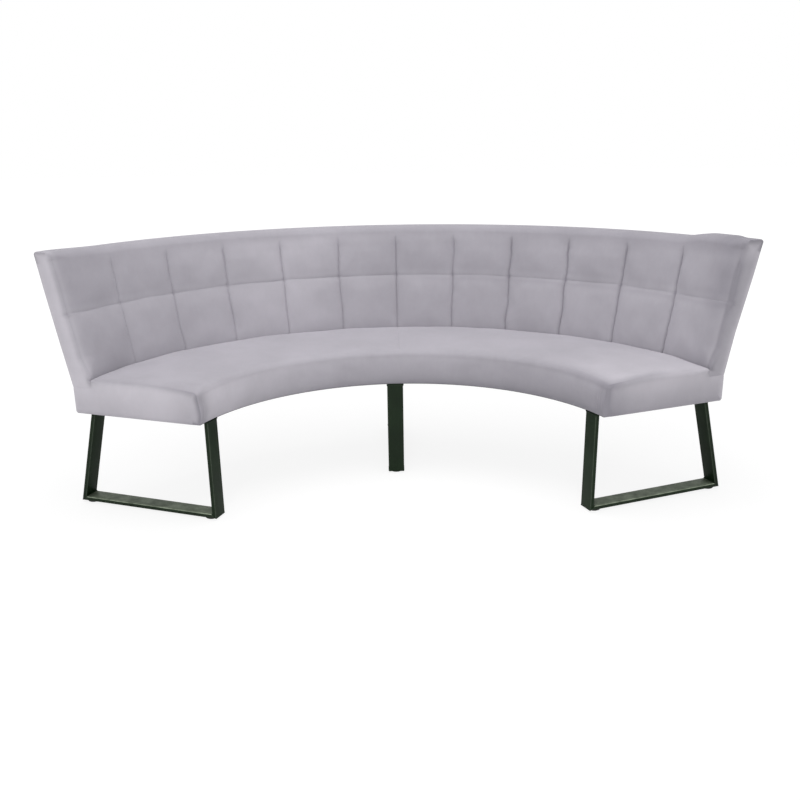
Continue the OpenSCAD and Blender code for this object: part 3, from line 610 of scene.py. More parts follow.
def seat_skin(sign, angles, shares, inset):
    """The cushion's skin as a grid of points: its section at each angle, rounded away towards the
    end, made slightly uneven, and creased by pleats down the front corner. Also its radii and
    heights, its lengths, and the depth and length of the rounding."""
    dense = seat_section(angles / half_angle, inset)
    lengths = run_length(dense[0])
    places = shares * lengths[-1]
    line = picked(dense, places, lengths)
    out = unit(picked(outward(dense), places, lengths))
    radius, height = line[..., 0], line[..., 1]
    from_end = radius * np.sin(half_angle - angles)[:, None]
    facing_in, facing_up = np.clip(-out[..., 0], 0, 1), np.clip(out[..., 1], 0, 1)
    firm = part_way(height, 0.37, 0.05)
    open_top = (0.2 + 0.8 * np.clip((1.12 - radius) / 0.07, 0, 1)) * facing_up ** 2
    across = 0.003 + 0.019 * open_top + (0.023 + 0.007 * firm) * facing_in ** 2
    along = 0.004 + 0.022 * open_top + (0.006 + 0.006 * firm) * facing_in ** 2
    uneven = 0.0009 * waves(radius * angles[:, None], radius, 11 + sign, 0.42, 7)
    uneven = uneven * part_way(from_end, 0, 0.05) * part_way(height, 0.40, 0.05)
    beside = radius * (body_half - angles)[:, None]
    fold = 0
    for place, width, depth, top in PLEATS[sign]:
        reach = part_way(height, 0.372, 0.02) * part_way(top - height, 0, 0.02)
        fold = fold + depth * reach * bell(beside - place, width)
    line = line - out * (end_drop(from_end, across, along) - uneven + facing_in * fold)[..., None]
    points = arc_place(line[..., 0], sign * angles[:, None], line[..., 1])
    return points, line, places, (across[-1], along[-1])


foam_stuff = foam_material()
HALVES = {"left": -1, "right": 1}
foam_angles = np.linspace(0, body_half, 90)
foam_inset = cover_thickness + foam_gap
for half, sign in HALVES.items():
    top, outline, _, _ = seat_skin(sign, foam_angles, np.linspace(0, 1, 120), foam_inset)
    top = top[:, (outline[..., 1] > deck_top + just_above).all(axis=0)]
    bottom = layered(top[..., 0], top[..., 1], deck_top)
    slab = closed_shell(f"seat_foam_slab_{half}", top, bottom, foam_stuff)
    hand_over(slab, f"seat_foam_{half}")

# Seat cover
# Velour over wadding, in two halves that meet at a seam in the middle. It is drawn over
# the foam, pleated at the front corners and stapled under the front rail.
seat_columns, seat_rows, coarse_columns, coarse_rows = 230, 152, 116, 70
seat_pressure, seat_spare, seat_free = 0.9, 0.003, 0.7
to_go = np.linspace(1, 0, seat_columns)
seat_angles = body_half * (1 - to_go * (0.12 + 0.88 * to_go ** 0.35))
seat_shares = np.linspace(0, 1, seat_rows)
seat_middle_radius = 0.95
CORNER_SHADES = {-1: 0.55, 1: 0.16}
cloth_frames, most_moved = 20, 0.004
CLOTH = {
    "quality": 5, "mass": 0.25, "tension_stiffness": 12.0, "compression_stiffness": 12.0,
    "shear_stiffness": 6.0, "bending_stiffness": 0.6, "vertex_group_mass": "held", "use_pressure": True}


def relaxed(start, held, sign, pressure, spare, free):
    """Cloth simulation on a grid of points: held points stay, pressure pushes the sheet out, and
    spare cloth puckers it. Returns how far each point moved, at most most_moved, evened out over
    its neighbours and scaled by free."""
    n, m = start.shape[:2]
    mesh = bpy.data.meshes.new("cloth")
    mesh.from_pydata(start.reshape(-1, 3).tolist(), [], grid_quads(n, m)[:, ::-sign].tolist())
    sheet = put_in_scene("cloth", mesh)
    sheet.vertex_groups.new(name="held").add(np.flatnonzero(held.ravel()).tolist(), 1.0, "REPLACE")
    cloth = sheet.modifiers.new("cloth", "CLOTH")
    for key, value in {**CLOTH, "uniform_pressure_force": pressure, "shrink_min": -spare}.items():
        setattr(cloth.settings, key, value)
    cloth.settings.effector_weights.gravity = 0.0
    cloth.collision_settings.use_collision = False
    cloth.point_cache.frame_start, cloth.point_cache.frame_end = 1, cloth_frames
    for step in range(1, cloth_frames + 1):
        bpy.context.scene.frame_set(step)
    found = sheet.evaluated_get(bpy.context.evaluated_depsgraph_get())
    moved = np.empty(n * m * 3, np.float32)
    found.data.vertices.foreach_get("co", moved)
    bpy.context.scene.frame_set(1)
    bpy.data.objects.remove(sheet)
    shift = moved.reshape(n, m, 3).astype(float) - start
    size = np.linalg.norm(shift, axis=2, keepdims=True)
    shift = shift * np.minimum(1.0, most_moved / np.maximum(size, 1e-9))
    for axis in (0, 1, 0, 1):
        wide = np.pad(shift, [(1, 1) if a == axis else (0, 0) for a in range(3)], "edge")
        before, here, after = (np.take(wide, range(k, k + shift.shape[axis]), axis) for k in range(3))
        shift = 0.25 * before + 0.5 * here + 0.25 * after
    return shift * np.where(held, 0.0, free)[..., None]


def carried(shift, old, new):
    """Shifts on a coarse grid, read at a finer one by straight interpolation along both axes; old
    and new are the two grids' coordinates along each axis."""
    for axis in (0, 1):
        k = np.clip(np.searchsorted(old[axis], new[axis], side="right") - 1, 0, len(old[axis]) - 2)
        share = (new[axis] - old[axis][k]) / (old[axis][k + 1] - old[axis][k])
        share = share.reshape([-1 if a == axis else 1 for a in range(3)])
        shift = np.take(shift, k, axis) * (1 - share) + np.take(shift, k + 1, axis) * share
    return shift


def seat_nap_with_painted_shading(sign, radius, height):
    """How the seat's pile lies, with painted light and shade: one value for the top and one for the
    front, which goes over into it at the front edge. Painted shade darkens the front towards its
    foot, at the corner and towards the right; painted light lifts the right end of the top, with a
    painted dark rim at its seam; and a painted dark line follows the front edge."""
    turned = sign * seat_angles[:, None] / half_angle
    leftwards = eased(-turned / 0.8)
    middle_height = height[:1]
    facing = np.clip((middle_height - 0.482 + 0.022 * leftwards) / (0.010 + 0.013 * leftwards), 0, 1)
    low = part_way(0.47 - height, 0, 0.11)
    from_seam = radius * (body_half - seat_angles)[:, None]
    top = 0.44 + 0.20 * eased((turned - 0.6) / 0.3)
    if sign > 0:
        # Painted light at the right end of the top, and a painted dark rim beside its seam
        rim = 0.24 * eased((1.0 - radius) / 0.14)
        top = top + 0.07 * bell(from_seam, 0.05) - rim * bell(from_seam, 0.014)
    # Painted shade: the front darker towards the right and towards its foot, lighter to the left
    front = 0.40 - 0.14 * turned + 0.50 * np.clip(-turned - 0.35, 0, 1) - 0.10 * low
    front = front - 0.40 * low ** 6 * (1 - 0.6 * leftwards)
    front = front + 0.10 * part_way(height, 0.44, 0.04) * (1 - leftwards)
    front = front - CORNER_SHADES[sign] * bell(from_seam, 0.034)
    # Painted shade: a dark line along the front edge that damps its highlight
    edge = 0.06 - 0.09 * eased((-turned - 0.15) / 0.4) + 0.14 * eased((turned - 0.5) / 0.45)
    edge = edge * eased((0.4895 - middle_height) / 0.004) * eased((middle_height - 0.458) / 0.018)
    return top * facing + front * (1 - facing) - edge


seat_rims = {}
for half, sign in HALVES.items():
    outer, outline, seat_lengths, rims = seat_skin(sign, seat_angles, seat_shares, 0.0)
    inner = seat_skin(sign, seat_angles, seat_shares, cover_thickness - drawn_thin)[0]
    coarse = np.linspace(0, body_half, coarse_columns), np.linspace(0, 1, coarse_rows)
    start = seat_skin(sign, *coarse, 0.0)[0]
    held = np.zeros(start.shape[:2], bool)
    held[[0, -1]] = held[:, :3] = held[:, -6:] = True
    moved = relaxed(start, held, sign, seat_pressure, seat_spare, seat_free)
    outer = outer + carried(moved, coarse, (seat_angles, seat_shares))
    nap_with_painted_shading = seat_nap_with_painted_shading(sign, outline[..., 0], outline[..., 1])
    seat_rims[half] = np.stack([outline[-1, :, 0], outline[-1, :, 1], *rims, nap_with_painted_shading[-1]], axis=1)
    uv = layered(seat_angles[:, None] * seat_middle_radius * sign, seat_lengths)
    cover = closed_shell(f"seat_cover_velour_{half}", outer, inner, velour, nap_with_painted_shading, uv)
    hand_over(cover, f"seat_cover_{half}")

# Back foam
# Soft foam is glued over the bent plywood and rolled over the top rail to the rear, one
# piece for each half. It gives the quilted squares their swell.
low_seam, mid_seam = 0.478, 0.702
pad_puff, roll_share = 0.010, 0.9
top_front_radius, top_rear_radius, lip_width = 0.026, 0.012, 0.026
lip_height = back_top - top_rear_radius - lip_width
ply_front, board_front = 0.0358, 0.0027
rail_top, plank_top = 0.8787, 0.476
pads = 6
pad_angle = body_half / pads
fade_start, fade_end = 0.820, 0.872
seam_width, swell_width = 0.0060, 0.030
# How deep the level seam is in each square of a half, and each upright seam
LEVEL_DEPTHS = {-1: (0.54, 0.52, 0.50, 0.40, 0.36, 0.38), 1: (0.40, 0.28, 0.32, 0.38, 0.30, 0.26)}
UPRIGHT_DEPTHS = {-1: (0.95, 1.0, 1.0, 1.0, 0.95, 0.72), 1: (0.95, 1.1, 1.2, 1.25, 1.35, 1.35)}
# The rear corner's reach outwards, low down and how much more at the top; then the roll's rise
# towards the end, where it starts, its run, and the hump upon it
EARS = {-1: (0.0065, -0.0035), 1: (0.001, 0.018)}
RISES = {-1: (0.0085, 0.28, 0.28, 0.0), 1: (0.0095, 0.30, 0.12, 0.005)}
raise_start, raise_run = 0.77, 0.12


def roll_section(inset, front):
    """The back's rolled top as (depth, height): up the lip at the rear, round the rear edge, over
    the top and round the front edge, inset evenly; front is the depth where the pads begin."""
    top = back_top - inset
    rear_r, front_r = top_rear_radius - inset, top_front_radius - inset
    turn, bend = steps(11, math.pi / 2), np.linspace(0, math.pi / 2, 19)
    return np.concatenate([
        layered(inset, lip_height + (top - rear_r - lip_height) * steps(8)),
        layered(inset + rear_r * (1 - np.cos(turn)), top - rear_r * (1 - np.sin(turn))),
        layered(inset + rear_r + (front - front_r - inset - rear_r) * steps(9), top),
        layered(front - front_r * (1 - np.sin(bend)), top - front_r * (1 - np.cos(bend)))])


def crowded(count, share):
    """Shares from 0 to 1 that lie closer at both ends: s less share times a sine of a full turn."""
    s = np.linspace(0, 1, count + 1)
    return s - share * np.sin(2 * math.pi * s) / (2 * math.pi)


def groove(distance, sharp_share=0.6):
    """How far quilted cloth has risen at a distance from a seam: a tight fold and a wide swell,
    both exponential, 0 on the seam and 1 far from it."""
    fold, swell = np.exp(-distance / seam_width), np.exp(-distance / swell_width)
    return 1 - sharp_share * fold - (1 - sharp_share) * swell


def quilt_rows(upper, lower):
    """Row coordinates of the quilted part: 2 to 1 from the roll down to the middle seam, 1 to 0 on
    down to the low seam, and below 0 to the foot."""
    return np.concatenate([2 - upper[1:], 1 - lower[1:], [-0.3, -0.65, -1.0]])


def ear(sign, from_end, height):
    """How far the rear corner is drawn outwards at a height, fading away from the end, and how far
    the roll rises before the end: a first eased step and a hump upon it, both from the roll up."""
    low, more = EARS[sign]
    drawn = (low + more * part_way(height, 0.60, 0.30)) * bell(from_end, 0.11)
    rise, start, run, hump = RISES[sign]
    raised = rise * eased((start - from_end) / run)
    raised = raised + hump * eased((0.27 - from_end) / 0.1) * eased((from_end - 0.055) / 0.04)
    return drawn, raised * eased((height - raise_start) / raise_run)


def on_squares(height):
    """1 on the squares, easing to 0 below the rolled top, where the upright seams run out."""
    return eased((fade_end - height) / (fade_end - fade_start))


def pad_depth(sign, shares, height, mid, roll_foot):
    """Depth of the quilted face: each square swells between the grooves of its seams, which fade
    out below the roll, with a dimple where two seams cross and a soft unevenness."""
    nearest = np.minimum(np.rint(shares), pads - 1).astype(int)
    beside = np.abs(shares - nearest)[:, None] * pad_angle * outer_radius
    upright_depth = np.array(UPRIGHT_DEPTHS[sign])[nearest][:, None]
    level_depth = np.interp(shares, np.arange(pads) + 0.5, LEVEL_DEPTHS[sign])[:, None]
    level = np.abs(height - mid)
    upright = 1 - (1 - groove(beside)) * (on_squares(height) * upright_depth)
    levelled = 1 - level_depth * (1 - groove(level))
    footed = 1 - 0.42 * np.exp(-np.clip(height - low_seam, 0, None) / 0.016)
    dimple = 0.0024 * np.exp(-(beside ** 2 + level ** 2) / 0.011 ** 2)
    rng = np.random.default_rng(70 + sign)
    fuller_up, fuller_down = rng.uniform(0.94, 1.06, pads), rng.uniform(0.96, 1.08, pads)
    column = np.clip(shares.astype(int), 0, pads - 1)
    fuller = np.where(height > mid, fuller_up[column][:, None], fuller_down[column][:, None])
    high = np.clip((height - 0.80) / (roll_foot - 0.80), 0, 1)
    full = (fuller * (1 - high) + roll_share * high) * (1 + 0.14 * (1 - high))
    along = (shares * pad_angle * outer_radius)[:, None]
    uneven = 0.0011 * waves(along, height, 90 + sign, 0.22, 8) * upright * levelled * (1 - high)
    return back_depth + pad_puff * full * upright * levelled * footed + uneven - dimple


def back_skin(sign, shares, rows, inset):
    """The back's skin as a grid of points: the roll's own rows, then the quilted ones. shares are
    the columns' places in units of a square. Also its radii and heights, and the depth and
    length of its rounding at the end."""
    roll = roll_section(inset, back_depth + (pad_puff * roll_share if inset == 0 else -inset))
    roll_foot = roll[-1, 1]
    along = (shares * pad_angle * outer_radius)[:, None]
    mid = mid_seam + 0.0014 * waves(along, 0 * along, 31 + sign, 0.30, 5) * np.minimum(shares, 1)[:, None]
    height = np.where(
        rows >= 1, mid + (roll_foot - mid) * (rows - 1),
        np.where(rows >= 0, low_seam + (mid - low_seam) * rows, low_seam + (low_seam - back_start) * rows))
    wander = sum(
        np.clip(1 - np.abs(shares - k), 0, 1)[:, None]
        * (0.0018 * waves(height, 0 * height, 50 + 7 * k + sign, 0.28, 4)
           + 0.0006 * waves(height, 0 * height, 60 + 7 * k + sign, 0.05, 4)) for k in range(1, pads))
    angle = shares[:, None] * pad_angle + wander / outer_radius
    depth = back_depth - inset + 0 * height
    if inset == 0:
        depth = pad_depth(sign, shares, height, mid, roll_foot)
    depth, height, angle = (
        np.concatenate([np.broadcast_to(first, (len(shares), len(roll))), rest], axis=1)
        for first, rest in ((roll[:, 0], depth), (roll[:, 1], height), (angle[:, :1], angle)))
    line = layered(back_radius(depth, height), height)
    out = outward(line[-1:])
    facing_in, facing_up = np.clip(-out[..., 0], 0, 1), np.clip(out[..., 1], 0, 1)
    soft = part_way(height, 0.485, 0.07)
    across = 0.002 + (0.004 + 0.032 * soft) * facing_in ** 1.5 + 0.001 * facing_up
    length = 0.003 + (0.007 + 0.056 * soft) * facing_in ** 1.5 + 0.003 * facing_up
    from_end = line[..., 0] * np.sin(half_angle - angle)
    drawn, raised = ear(sign, from_end, height)
    sewn = 0.0010 * bell(line[..., 0] * (body_half - angle), 0.003) * facing_in
    line = line - out * (end_drop(from_end, across, length) + sewn)[..., None]
    line = line + layered(drawn * np.clip(1 - depth / 0.06, 0, 1), raised)
    return arc_place(line[..., 0], sign * angle, line[..., 1]), line, (across[-1], length[-1])


even_rows = quilt_rows(np.linspace(0, 1, 20), np.linspace(0, 1, 20))
foam_rows = np.append(even_rows[:-3], (plank_top - low_seam) / (low_seam - back_start))
for half, sign in HALVES.items():
    front, outline, _ = back_skin(sign, foam_angles / pad_angle, foam_rows, foam_inset)
    first = int(np.argmax(outline[..., 1].min(axis=0) > rail_top + just_above))
    front, outline = front[:, first:], outline[:, first:]
    over_rail = int((outline[0, :, 1] > rail_top).sum())
    split = np.minimum(np.arange(outline.shape[1]) / (over_rail - 1), 1.0)
    level = np.minimum(outline[..., 1], rail_top)
    rear_line = back_radius(board_front + (ply_front - board_front) * split, level)
    rear = arc_place(rear_line, sign * foam_angles[:, None], level)
    pad = closed_shell(f"back_foam_pad_{half}", front, rear, foam_stuff)
    hand_over(pad, f"back_foam_{half}")

# Quilted back cover
# Velour on wadding, stitched through in two rows of squares, six to a half, and drawn over
# the foam. The upright seams run out below the rolled top; the pads press on the seat.
fine_pad = crowded(44, 0.8)
back_shares = np.concatenate([fine_pad[:-1] + k for k in range(pads)] + [[float(pads)]])
upper_rows = np.linspace(0, 1, 41)
upper_rows = upper_rows + 0.6 * np.sin(math.pi * upper_rows) / math.pi * (1 - upper_rows)
back_rows = quilt_rows(upper_rows, fine_pad)
coarse_pad, coarse_upper, coarse_lower = 26, 22, 28
pad_pressure, pad_spare, pad_free = 1.2, 0.004, 0.8
coarse_back_rows = quilt_rows(np.linspace(0, 1, coarse_upper + 1), np.linspace(0, 1, coarse_lower + 1))
coarse_shares = np.linspace(0, pads, pads * coarse_pad + 1)
roll_count = len(roll_section(0.0, back_depth))


def back_nap_with_painted_shading(sign, radius, height):
    """How the back's pile lies, with painted light and shade: painted shade a little darker in the
    upper squares, on the rolled top, at the right end and at the foot; painted light left of the
    middle and below the roll; and painted shade with crushed pile in, beside and under the seams."""
    turned = sign * back_shares[:, None] / pads
    from_seam = radius * (pads - back_shares)[:, None] * pad_angle
    lean, upper = part_way(height, 0.845, 0.045), part_way(height, mid_seam, 0.03)
    # Painted light left of the middle; painted shade on the upper squares and the rolled top
    lit = bell(turned + 0.35, 0.25)
    nap_with_painted_shading = 0.45 - 0.11 * upper + (0.15 + 0.08 * upper - 0.19 * lean) * lit - (0.05 + 0.16 * turned) * lean
    if sign > 0:
        # Painted shade: a dark band down the right end's rounding
        band = 0.35 * bell(from_seam, 0.085) * (1 - 0.45 * eased((height - 0.80) / 0.06))
        nap_with_painted_shading = nap_with_painted_shading - band * (0.6 + 0.4 * eased((height - 0.62) / 0.08)) + 0.12 * bell(from_seam, 0.02)
    else:
        nap_with_painted_shading = nap_with_painted_shading + 0.20 * bell(from_seam, 0.014)
    nap_with_painted_shading = nap_with_painted_shading - 0.08 * eased((-turned - 0.8) / 0.1) - 0.12 * lean ** 3 * eased((-turned - 0.3) / 0.2)
    # Painted light just below the rolled top
    below_roll = eased((height - 0.825) / 0.035) * (1 - eased((height - 0.868) / 0.02))
    nap_with_painted_shading = nap_with_painted_shading + 0.12 * below_roll * bell(turned, 0.35)
    # Painted shade where the squares meet the seat
    nap_with_painted_shading = nap_with_painted_shading - 0.14 * np.exp(-np.clip(height - 0.485, 0, None) / 0.012)
    beside = np.abs(back_shares - np.rint(back_shares))[:, None] * pad_angle * outer_radius
    # Painted shade along the seams and at their crossings, with crushed pile
    seam_dip = (0.06 + 0.20 * eased(turned / 0.7)) * bell(beside, 0.0045)
    off = height - mid_seam
    nap_with_painted_shading = nap_with_painted_shading - seam_dip * on_squares(height) - 0.08 * bell(off, 0.004)
    nap_with_painted_shading = nap_with_painted_shading - 0.18 * np.exp(-(beside ** 2 + off ** 2) / 0.008 ** 2)
    return nap_with_painted_shading - 0.09 * eased(turned / 0.2) * bell(off + 0.012, 0.011)


back_rims, quilt_grids = {}, {}
for half, sign in HALVES.items():
    outer, outline, rims = back_skin(sign, back_shares, back_rows, 0.0)
    inner = back_skin(sign, back_shares, back_rows, cover_thickness)[0]
    start = back_skin(sign, coarse_shares, coarse_back_rows, 0.0)[0]
    held = np.zeros(start.shape[:2], bool)
    held[[0, -1]] = held[:, :roll_count] = held[:, -4:] = held[:, roll_count + coarse_upper - 1] = True
    held[::coarse_pad, roll_count + 6:] = True
    coarse_axis, fine_axis = (
        np.concatenate([np.linspace(-3, -2, roll_count), -rows]) for rows in (coarse_back_rows, back_rows))
    free = pad_free * eased((np.arange(start.shape[1]) - roll_count) / (coarse_upper / 2))[None, :]
    moved = relaxed(start, held, sign, pad_pressure, pad_spare, free)
    outer = outer + carried(moved, (coarse_shares, coarse_axis), (back_shares, fine_axis))
    quilt_grids[half] = outer[:, roll_count:]
    nap_with_painted_shading = back_nap_with_painted_shading(sign, outline[..., 0], outline[..., 1])
    back_rims[half] = np.stack([outline[-1, :, 0], outline[-1, :, 1], *rims, nap_with_painted_shading[-1]], axis=1)
    along = back_shares[:, None] * pad_angle * outer_radius * sign
    uv = layered(along, run_length(outline[len(outline) // 2]))
    cover = closed_shell(f"back_cover_quilted_{half}", outer, inner, velour, nap_with_painted_shading, uv, 75.0)
    hand_over(cover, f"back_cover_{half}")

# Quilting thread
# A strong polyester thread a little darker than the velour runs along the quilted seams in
# stitches about 4.5 mm long, which dive into the cloth at both ends.
stitch_pitch, thread_radius, thread_sides = 0.0045, 0.0005, 6
# Rings of a stitch: place along it in pitches, and radius and lift above the cloth in thread radii
STITCH_RINGS = np.array([
    (-0.42, 0.04, -0.9), (-0.36, 0.7, -0.4), (0.0, 1.0, 0.5), (0.36, 0.7, -0.4), (0.42, 0.04, -0.9)])


def thread_material():
    """Polyester thread: mauve grey, faintly shiny, twisted in fine turns."""
    stops = (0.35, shade(fabric_colour, 0.80)), (0.65, shade(fabric_colour, 0.94))
    return mottled_material("quilting_thread", shade(fabric_colour, 0.88), 0.55, (1400.0, 1.0), stops, 0.0001)


def stitch_row(line, out):
    """Stitches along a line of points with the cloth's outward directions: for each, rings of
    points whose place along, radius and height above the cloth come from STITCH_RINGS."""
    lengths = run_length(line)
    count = np.arange(int(lengths[-1] / stitch_pitch))
    middle, tip, up = (
        np.stack([np.interp((count + part) * stitch_pitch, lengths, grid[:, k]) for k in range(3)], axis=1)
        for part, grid in ((0.5, line), (0.7, line), (0.5, out)))
    ahead = unit(tip - middle)
    up = unit(up - ahead * np.einsum("ij,ij->i", up, ahead)[:, None])
    beside = np.cross(ahead, up)
    turn = np.linspace(0, 2 * math.pi, thread_sides, endpoint=False)[:, None]
    place, radius, lift = STITCH_RINGS[:, :1], STITCH_RINGS[:, 1], STITCH_RINGS[:, 2:]
    centre = middle[:, None] + ahead[:, None] * place * stitch_pitch + up[:, None] * lift * thread_radius
    ring = np.cos(turn) * beside[:, None, None] + np.sin(turn) * up[:, None, None]
    return centre[:, :, None] + ring * (radius * thread_radius)[:, None, None]


thread = thread_material()
for half, sign in HALVES.items():
    grid = quilt_grids[half]
    out = unit(np.cross(np.gradient(grid, axis=0), np.gradient(grid, axis=1)) * -sign)
    mid_row = len(upper_rows) - 2
    rows = []
    for column in range(len(fine_pad) - 1, pads * (len(fine_pad) - 1), len(fine_pad) - 1):
        sewn = (grid[column, :, 2] < fade_start + 0.03) & (grid[column, :, 2] > junction + 0.004)
        rows.append(stitch_row(grid[column][sewn], out[column][sewn]))
    rows.append(stitch_row(grid[4:-6, mid_row], out[4:-6, mid_row]))
    stitches = np.concatenate(rows)
    faces = repeated(ring_faces(len(STITCH_RINGS), thread_sides), len(stitches))
    hand_over(mesh_object(f"quilting_stitches_{half}", stitches.reshape(-1, 3), faces, thread))

# End covers of seat and back
# Plain padded panels of the same velour close the two ends. They are sewn in along the
# covers' rounded edges, and seat and back panel meet in a flush seam.
ring_steps = (0.0001, 0.0005, 0.0012, 0.0022, 0.0035, 0.0052, 0.0075, 0.0105, 0.0145, 0.0195)
panel_step, edge_step, edge_round, slit_top = 0.007, 0.006, 0.002, 0.4765
seam_blend = {-1: 0.010, 1: 0.016}
# The painted shade's fall and its reach at the front corner; painted light up the rear edge and painted shade
# along the foot
CORNER_PAINTED_SHADES = {-1: (0.25, 0.09), 1: (0.40, 0.085)}
REAR_PAINTED_TONES = {-1: (1.0, 0.6), 1: (0.85, 0.3)}
# Each panel's puff, and its painted light and shade: at its foot, how much more above, from where and how soon
PANELS = {
    ("seat", -1): (0.006, 0.78, 0.20, 0.37, 0.09), ("back", -1): (0.004, 0.94, 0.0, 0.0, 1.0),
    ("seat", 1): (0.006, 0.46, 0.33, 0.37, 0.10), ("back", 1): (0.004, 0.48, 0.28, 0.82, 0.06)}


def distance_to(points, outline):
    """Distance of points from a closed outline of straight pieces, and the outline's further
    columns where it is nearest."""
    best = np.full(len(points), 1e9)
    value = np.zeros((len(points), outline.shape[1] - 2))
    for a, b in zip(outline, np.roll(outline, -1, axis=0)):
        along = b[:2] - a[:2]
        share = np.clip((points - a[:2]) @ along / max(along @ along, 1e-12), 0, 1)
        gap = np.linalg.norm(points - a[:2] - share[:, None] * along, axis=1)
        nearer = gap < best
        best = np.where(nearer, gap, best)
        value = np.where(nearer[:, None], a[2:] + (b[2:] - a[2:]) * share[:, None], value)
    return best, value


def inside(points, outline):
    """Whether points lie within a closed outline: an odd number of crossings to one side."""
    odd = np.zeros(len(points), bool)
    for a, b in zip(outline[:, :2], np.roll(outline[:, :2], -1, axis=0)):
        spans = (a[1] > points[:, 1]) != (b[1] > points[:, 1])
        cross = a[0] + (points[:, 1] - a[1]) * (b[0] - a[0]) / (b[1] - a[1] if b[1] != a[1] else 1e-12)
        odd ^= spans & (points[:, 0] < cross)
    return odd


def end_panel(part, half, outline, silhouette):
    """A panel over an end: points in rings and a grid within its outline, joined by Delaunay
    triangles. Each stands off the end plane by its ellipse's fall near the silhouette, less a
    puff that grows with the distance from it; a flat sheet in the seam's plane closes it. The
    painted light and shade go over from the covers' edges to the panel's own, given by height,
    with painted shade at the front corner."""
    sign = HALVES[half]
    puff, painted_foot_tone, painted_tone_above, start, run = PANELS[part, sign]
    line = outline[:, :2]
    ahead = np.roll(line, -1, axis=0) - np.roll(line, 1, axis=0)
    ahead = ahead / np.maximum(np.linalg.norm(ahead, axis=1, keepdims=True), 1e-9)
    inward = layered(-ahead[:, 1], ahead[:, 0])
    axes = [np.arange(low, high, panel_step) for low, high in zip(line.min(axis=0), line.max(axis=0))]
    grid = np.stack(np.meshgrid(*axes, indexing="ij"), axis=-1).reshape(-1, 2)
    kept = [line]
    rings = [(step, line + inward * step) for step in ring_steps]
    for step, ring in rings + [(ring_steps[-1] + 0.004, grid)]:
        gap, _ = distance_to(ring, outline)
        kept.append(ring[inside(ring, outline) & (gap > step * 0.97)])
    edge = np.arange(len(outline))
    edge_ahead = np.roll(edge, -1)
    rim_edges = list(zip(edge.tolist(), edge_ahead.tolist()))
    found = delaunay_2d_cdt([Vector(p) for p in np.concatenate(kept)], rim_edges, [edge.tolist()], 1, 1e-7)
    flat, triangles = np.array([tuple(p) for p in found[0]]), np.array(found[2])
    gap, rim = distance_to(flat, silhouette)
    seam_off = flat[:, 0] * math.sin(end_cover_angle)
    sewn = end_drop(seam_off, rim[:, 0], rim[:, 1])
    off = np.minimum(end_drop(gap + sewn, rim[:, 1], rim[:, 0]), seam_off)
    off = off - puff * (1 - np.exp(-gap / 0.030)) * np.clip(gap / 0.004, 0, 1)
    off = np.where(gap < 5e-5, seam_off, off)
    reach = flat[:, 0] * math.cos(end_cover_angle)
    points = np.concatenate([layered(
        sign * (reach * math.sin(half_angle) - away * math.cos(half_angle)),
        reach * math.cos(half_angle) + away * math.sin(half_angle) + arc_centre_y, flat[:, 1])
        for away in (off, seam_off - 0.0002)])
    strip = np.concatenate([
        np.stack([edge_ahead, edge, edge + len(flat)], axis=1),
        np.stack([edge_ahead, edge + len(flat), edge_ahead + len(flat)], axis=1)])
    faces = np.concatenate([triangles, triangles[:, ::-1] + len(flat), strip])
    near = bell(gap, seam_blend[sign])
    fall, fall_reach = CORNER_PAINTED_SHADES[sign]
    own_painted_tone = painted_foot_tone + painted_tone_above * eased((flat[:, 1] - start) / run)
    # Painted shade darkens the panel towards the front corner
    nap_with_painted_shading = rim[:, 2] * near + own_painted_tone * (1 - near) - fall * bell(flat[:, 0] - inner_radius, fall_reach)
    marks, uv = {"nap_with_painted_shading": np.concatenate([nap_with_painted_shading, nap_with_painted_shading])}, np.concatenate([flat, flat])
    panel = mesh_object(f"{part}_end_panel_{half}", points, faces, velour, marks, uv, 60.0)
    hand_over(panel, f"{part}_{half}_end_cover")


def thinned(line, step):
    """Points of a line at least step apart, with its first and last."""
    kept = [line[0]]
    for point in line[1:-1]:
        if np.linalg.norm(point[:2] - kept[-1][:2]) >= step:
            kept.append(point)
    return np.array(kept + [line[-1]])


def straight(a, b, step, nap_with_painted_shading=0.5):
    """Points from a to b, without b, about step apart, with the rounding's depth and length and
    the painted light and shade there."""
    a, b = np.array(a), np.array(b)
    count = max(2, int(np.linalg.norm(b - a) / step))
    places = a + (b - a) * steps(count + 1)[:, None]
    return np.concatenate([places, np.full((count, 3), (edge_round, edge_round, nap_with_painted_shading))], axis=1)


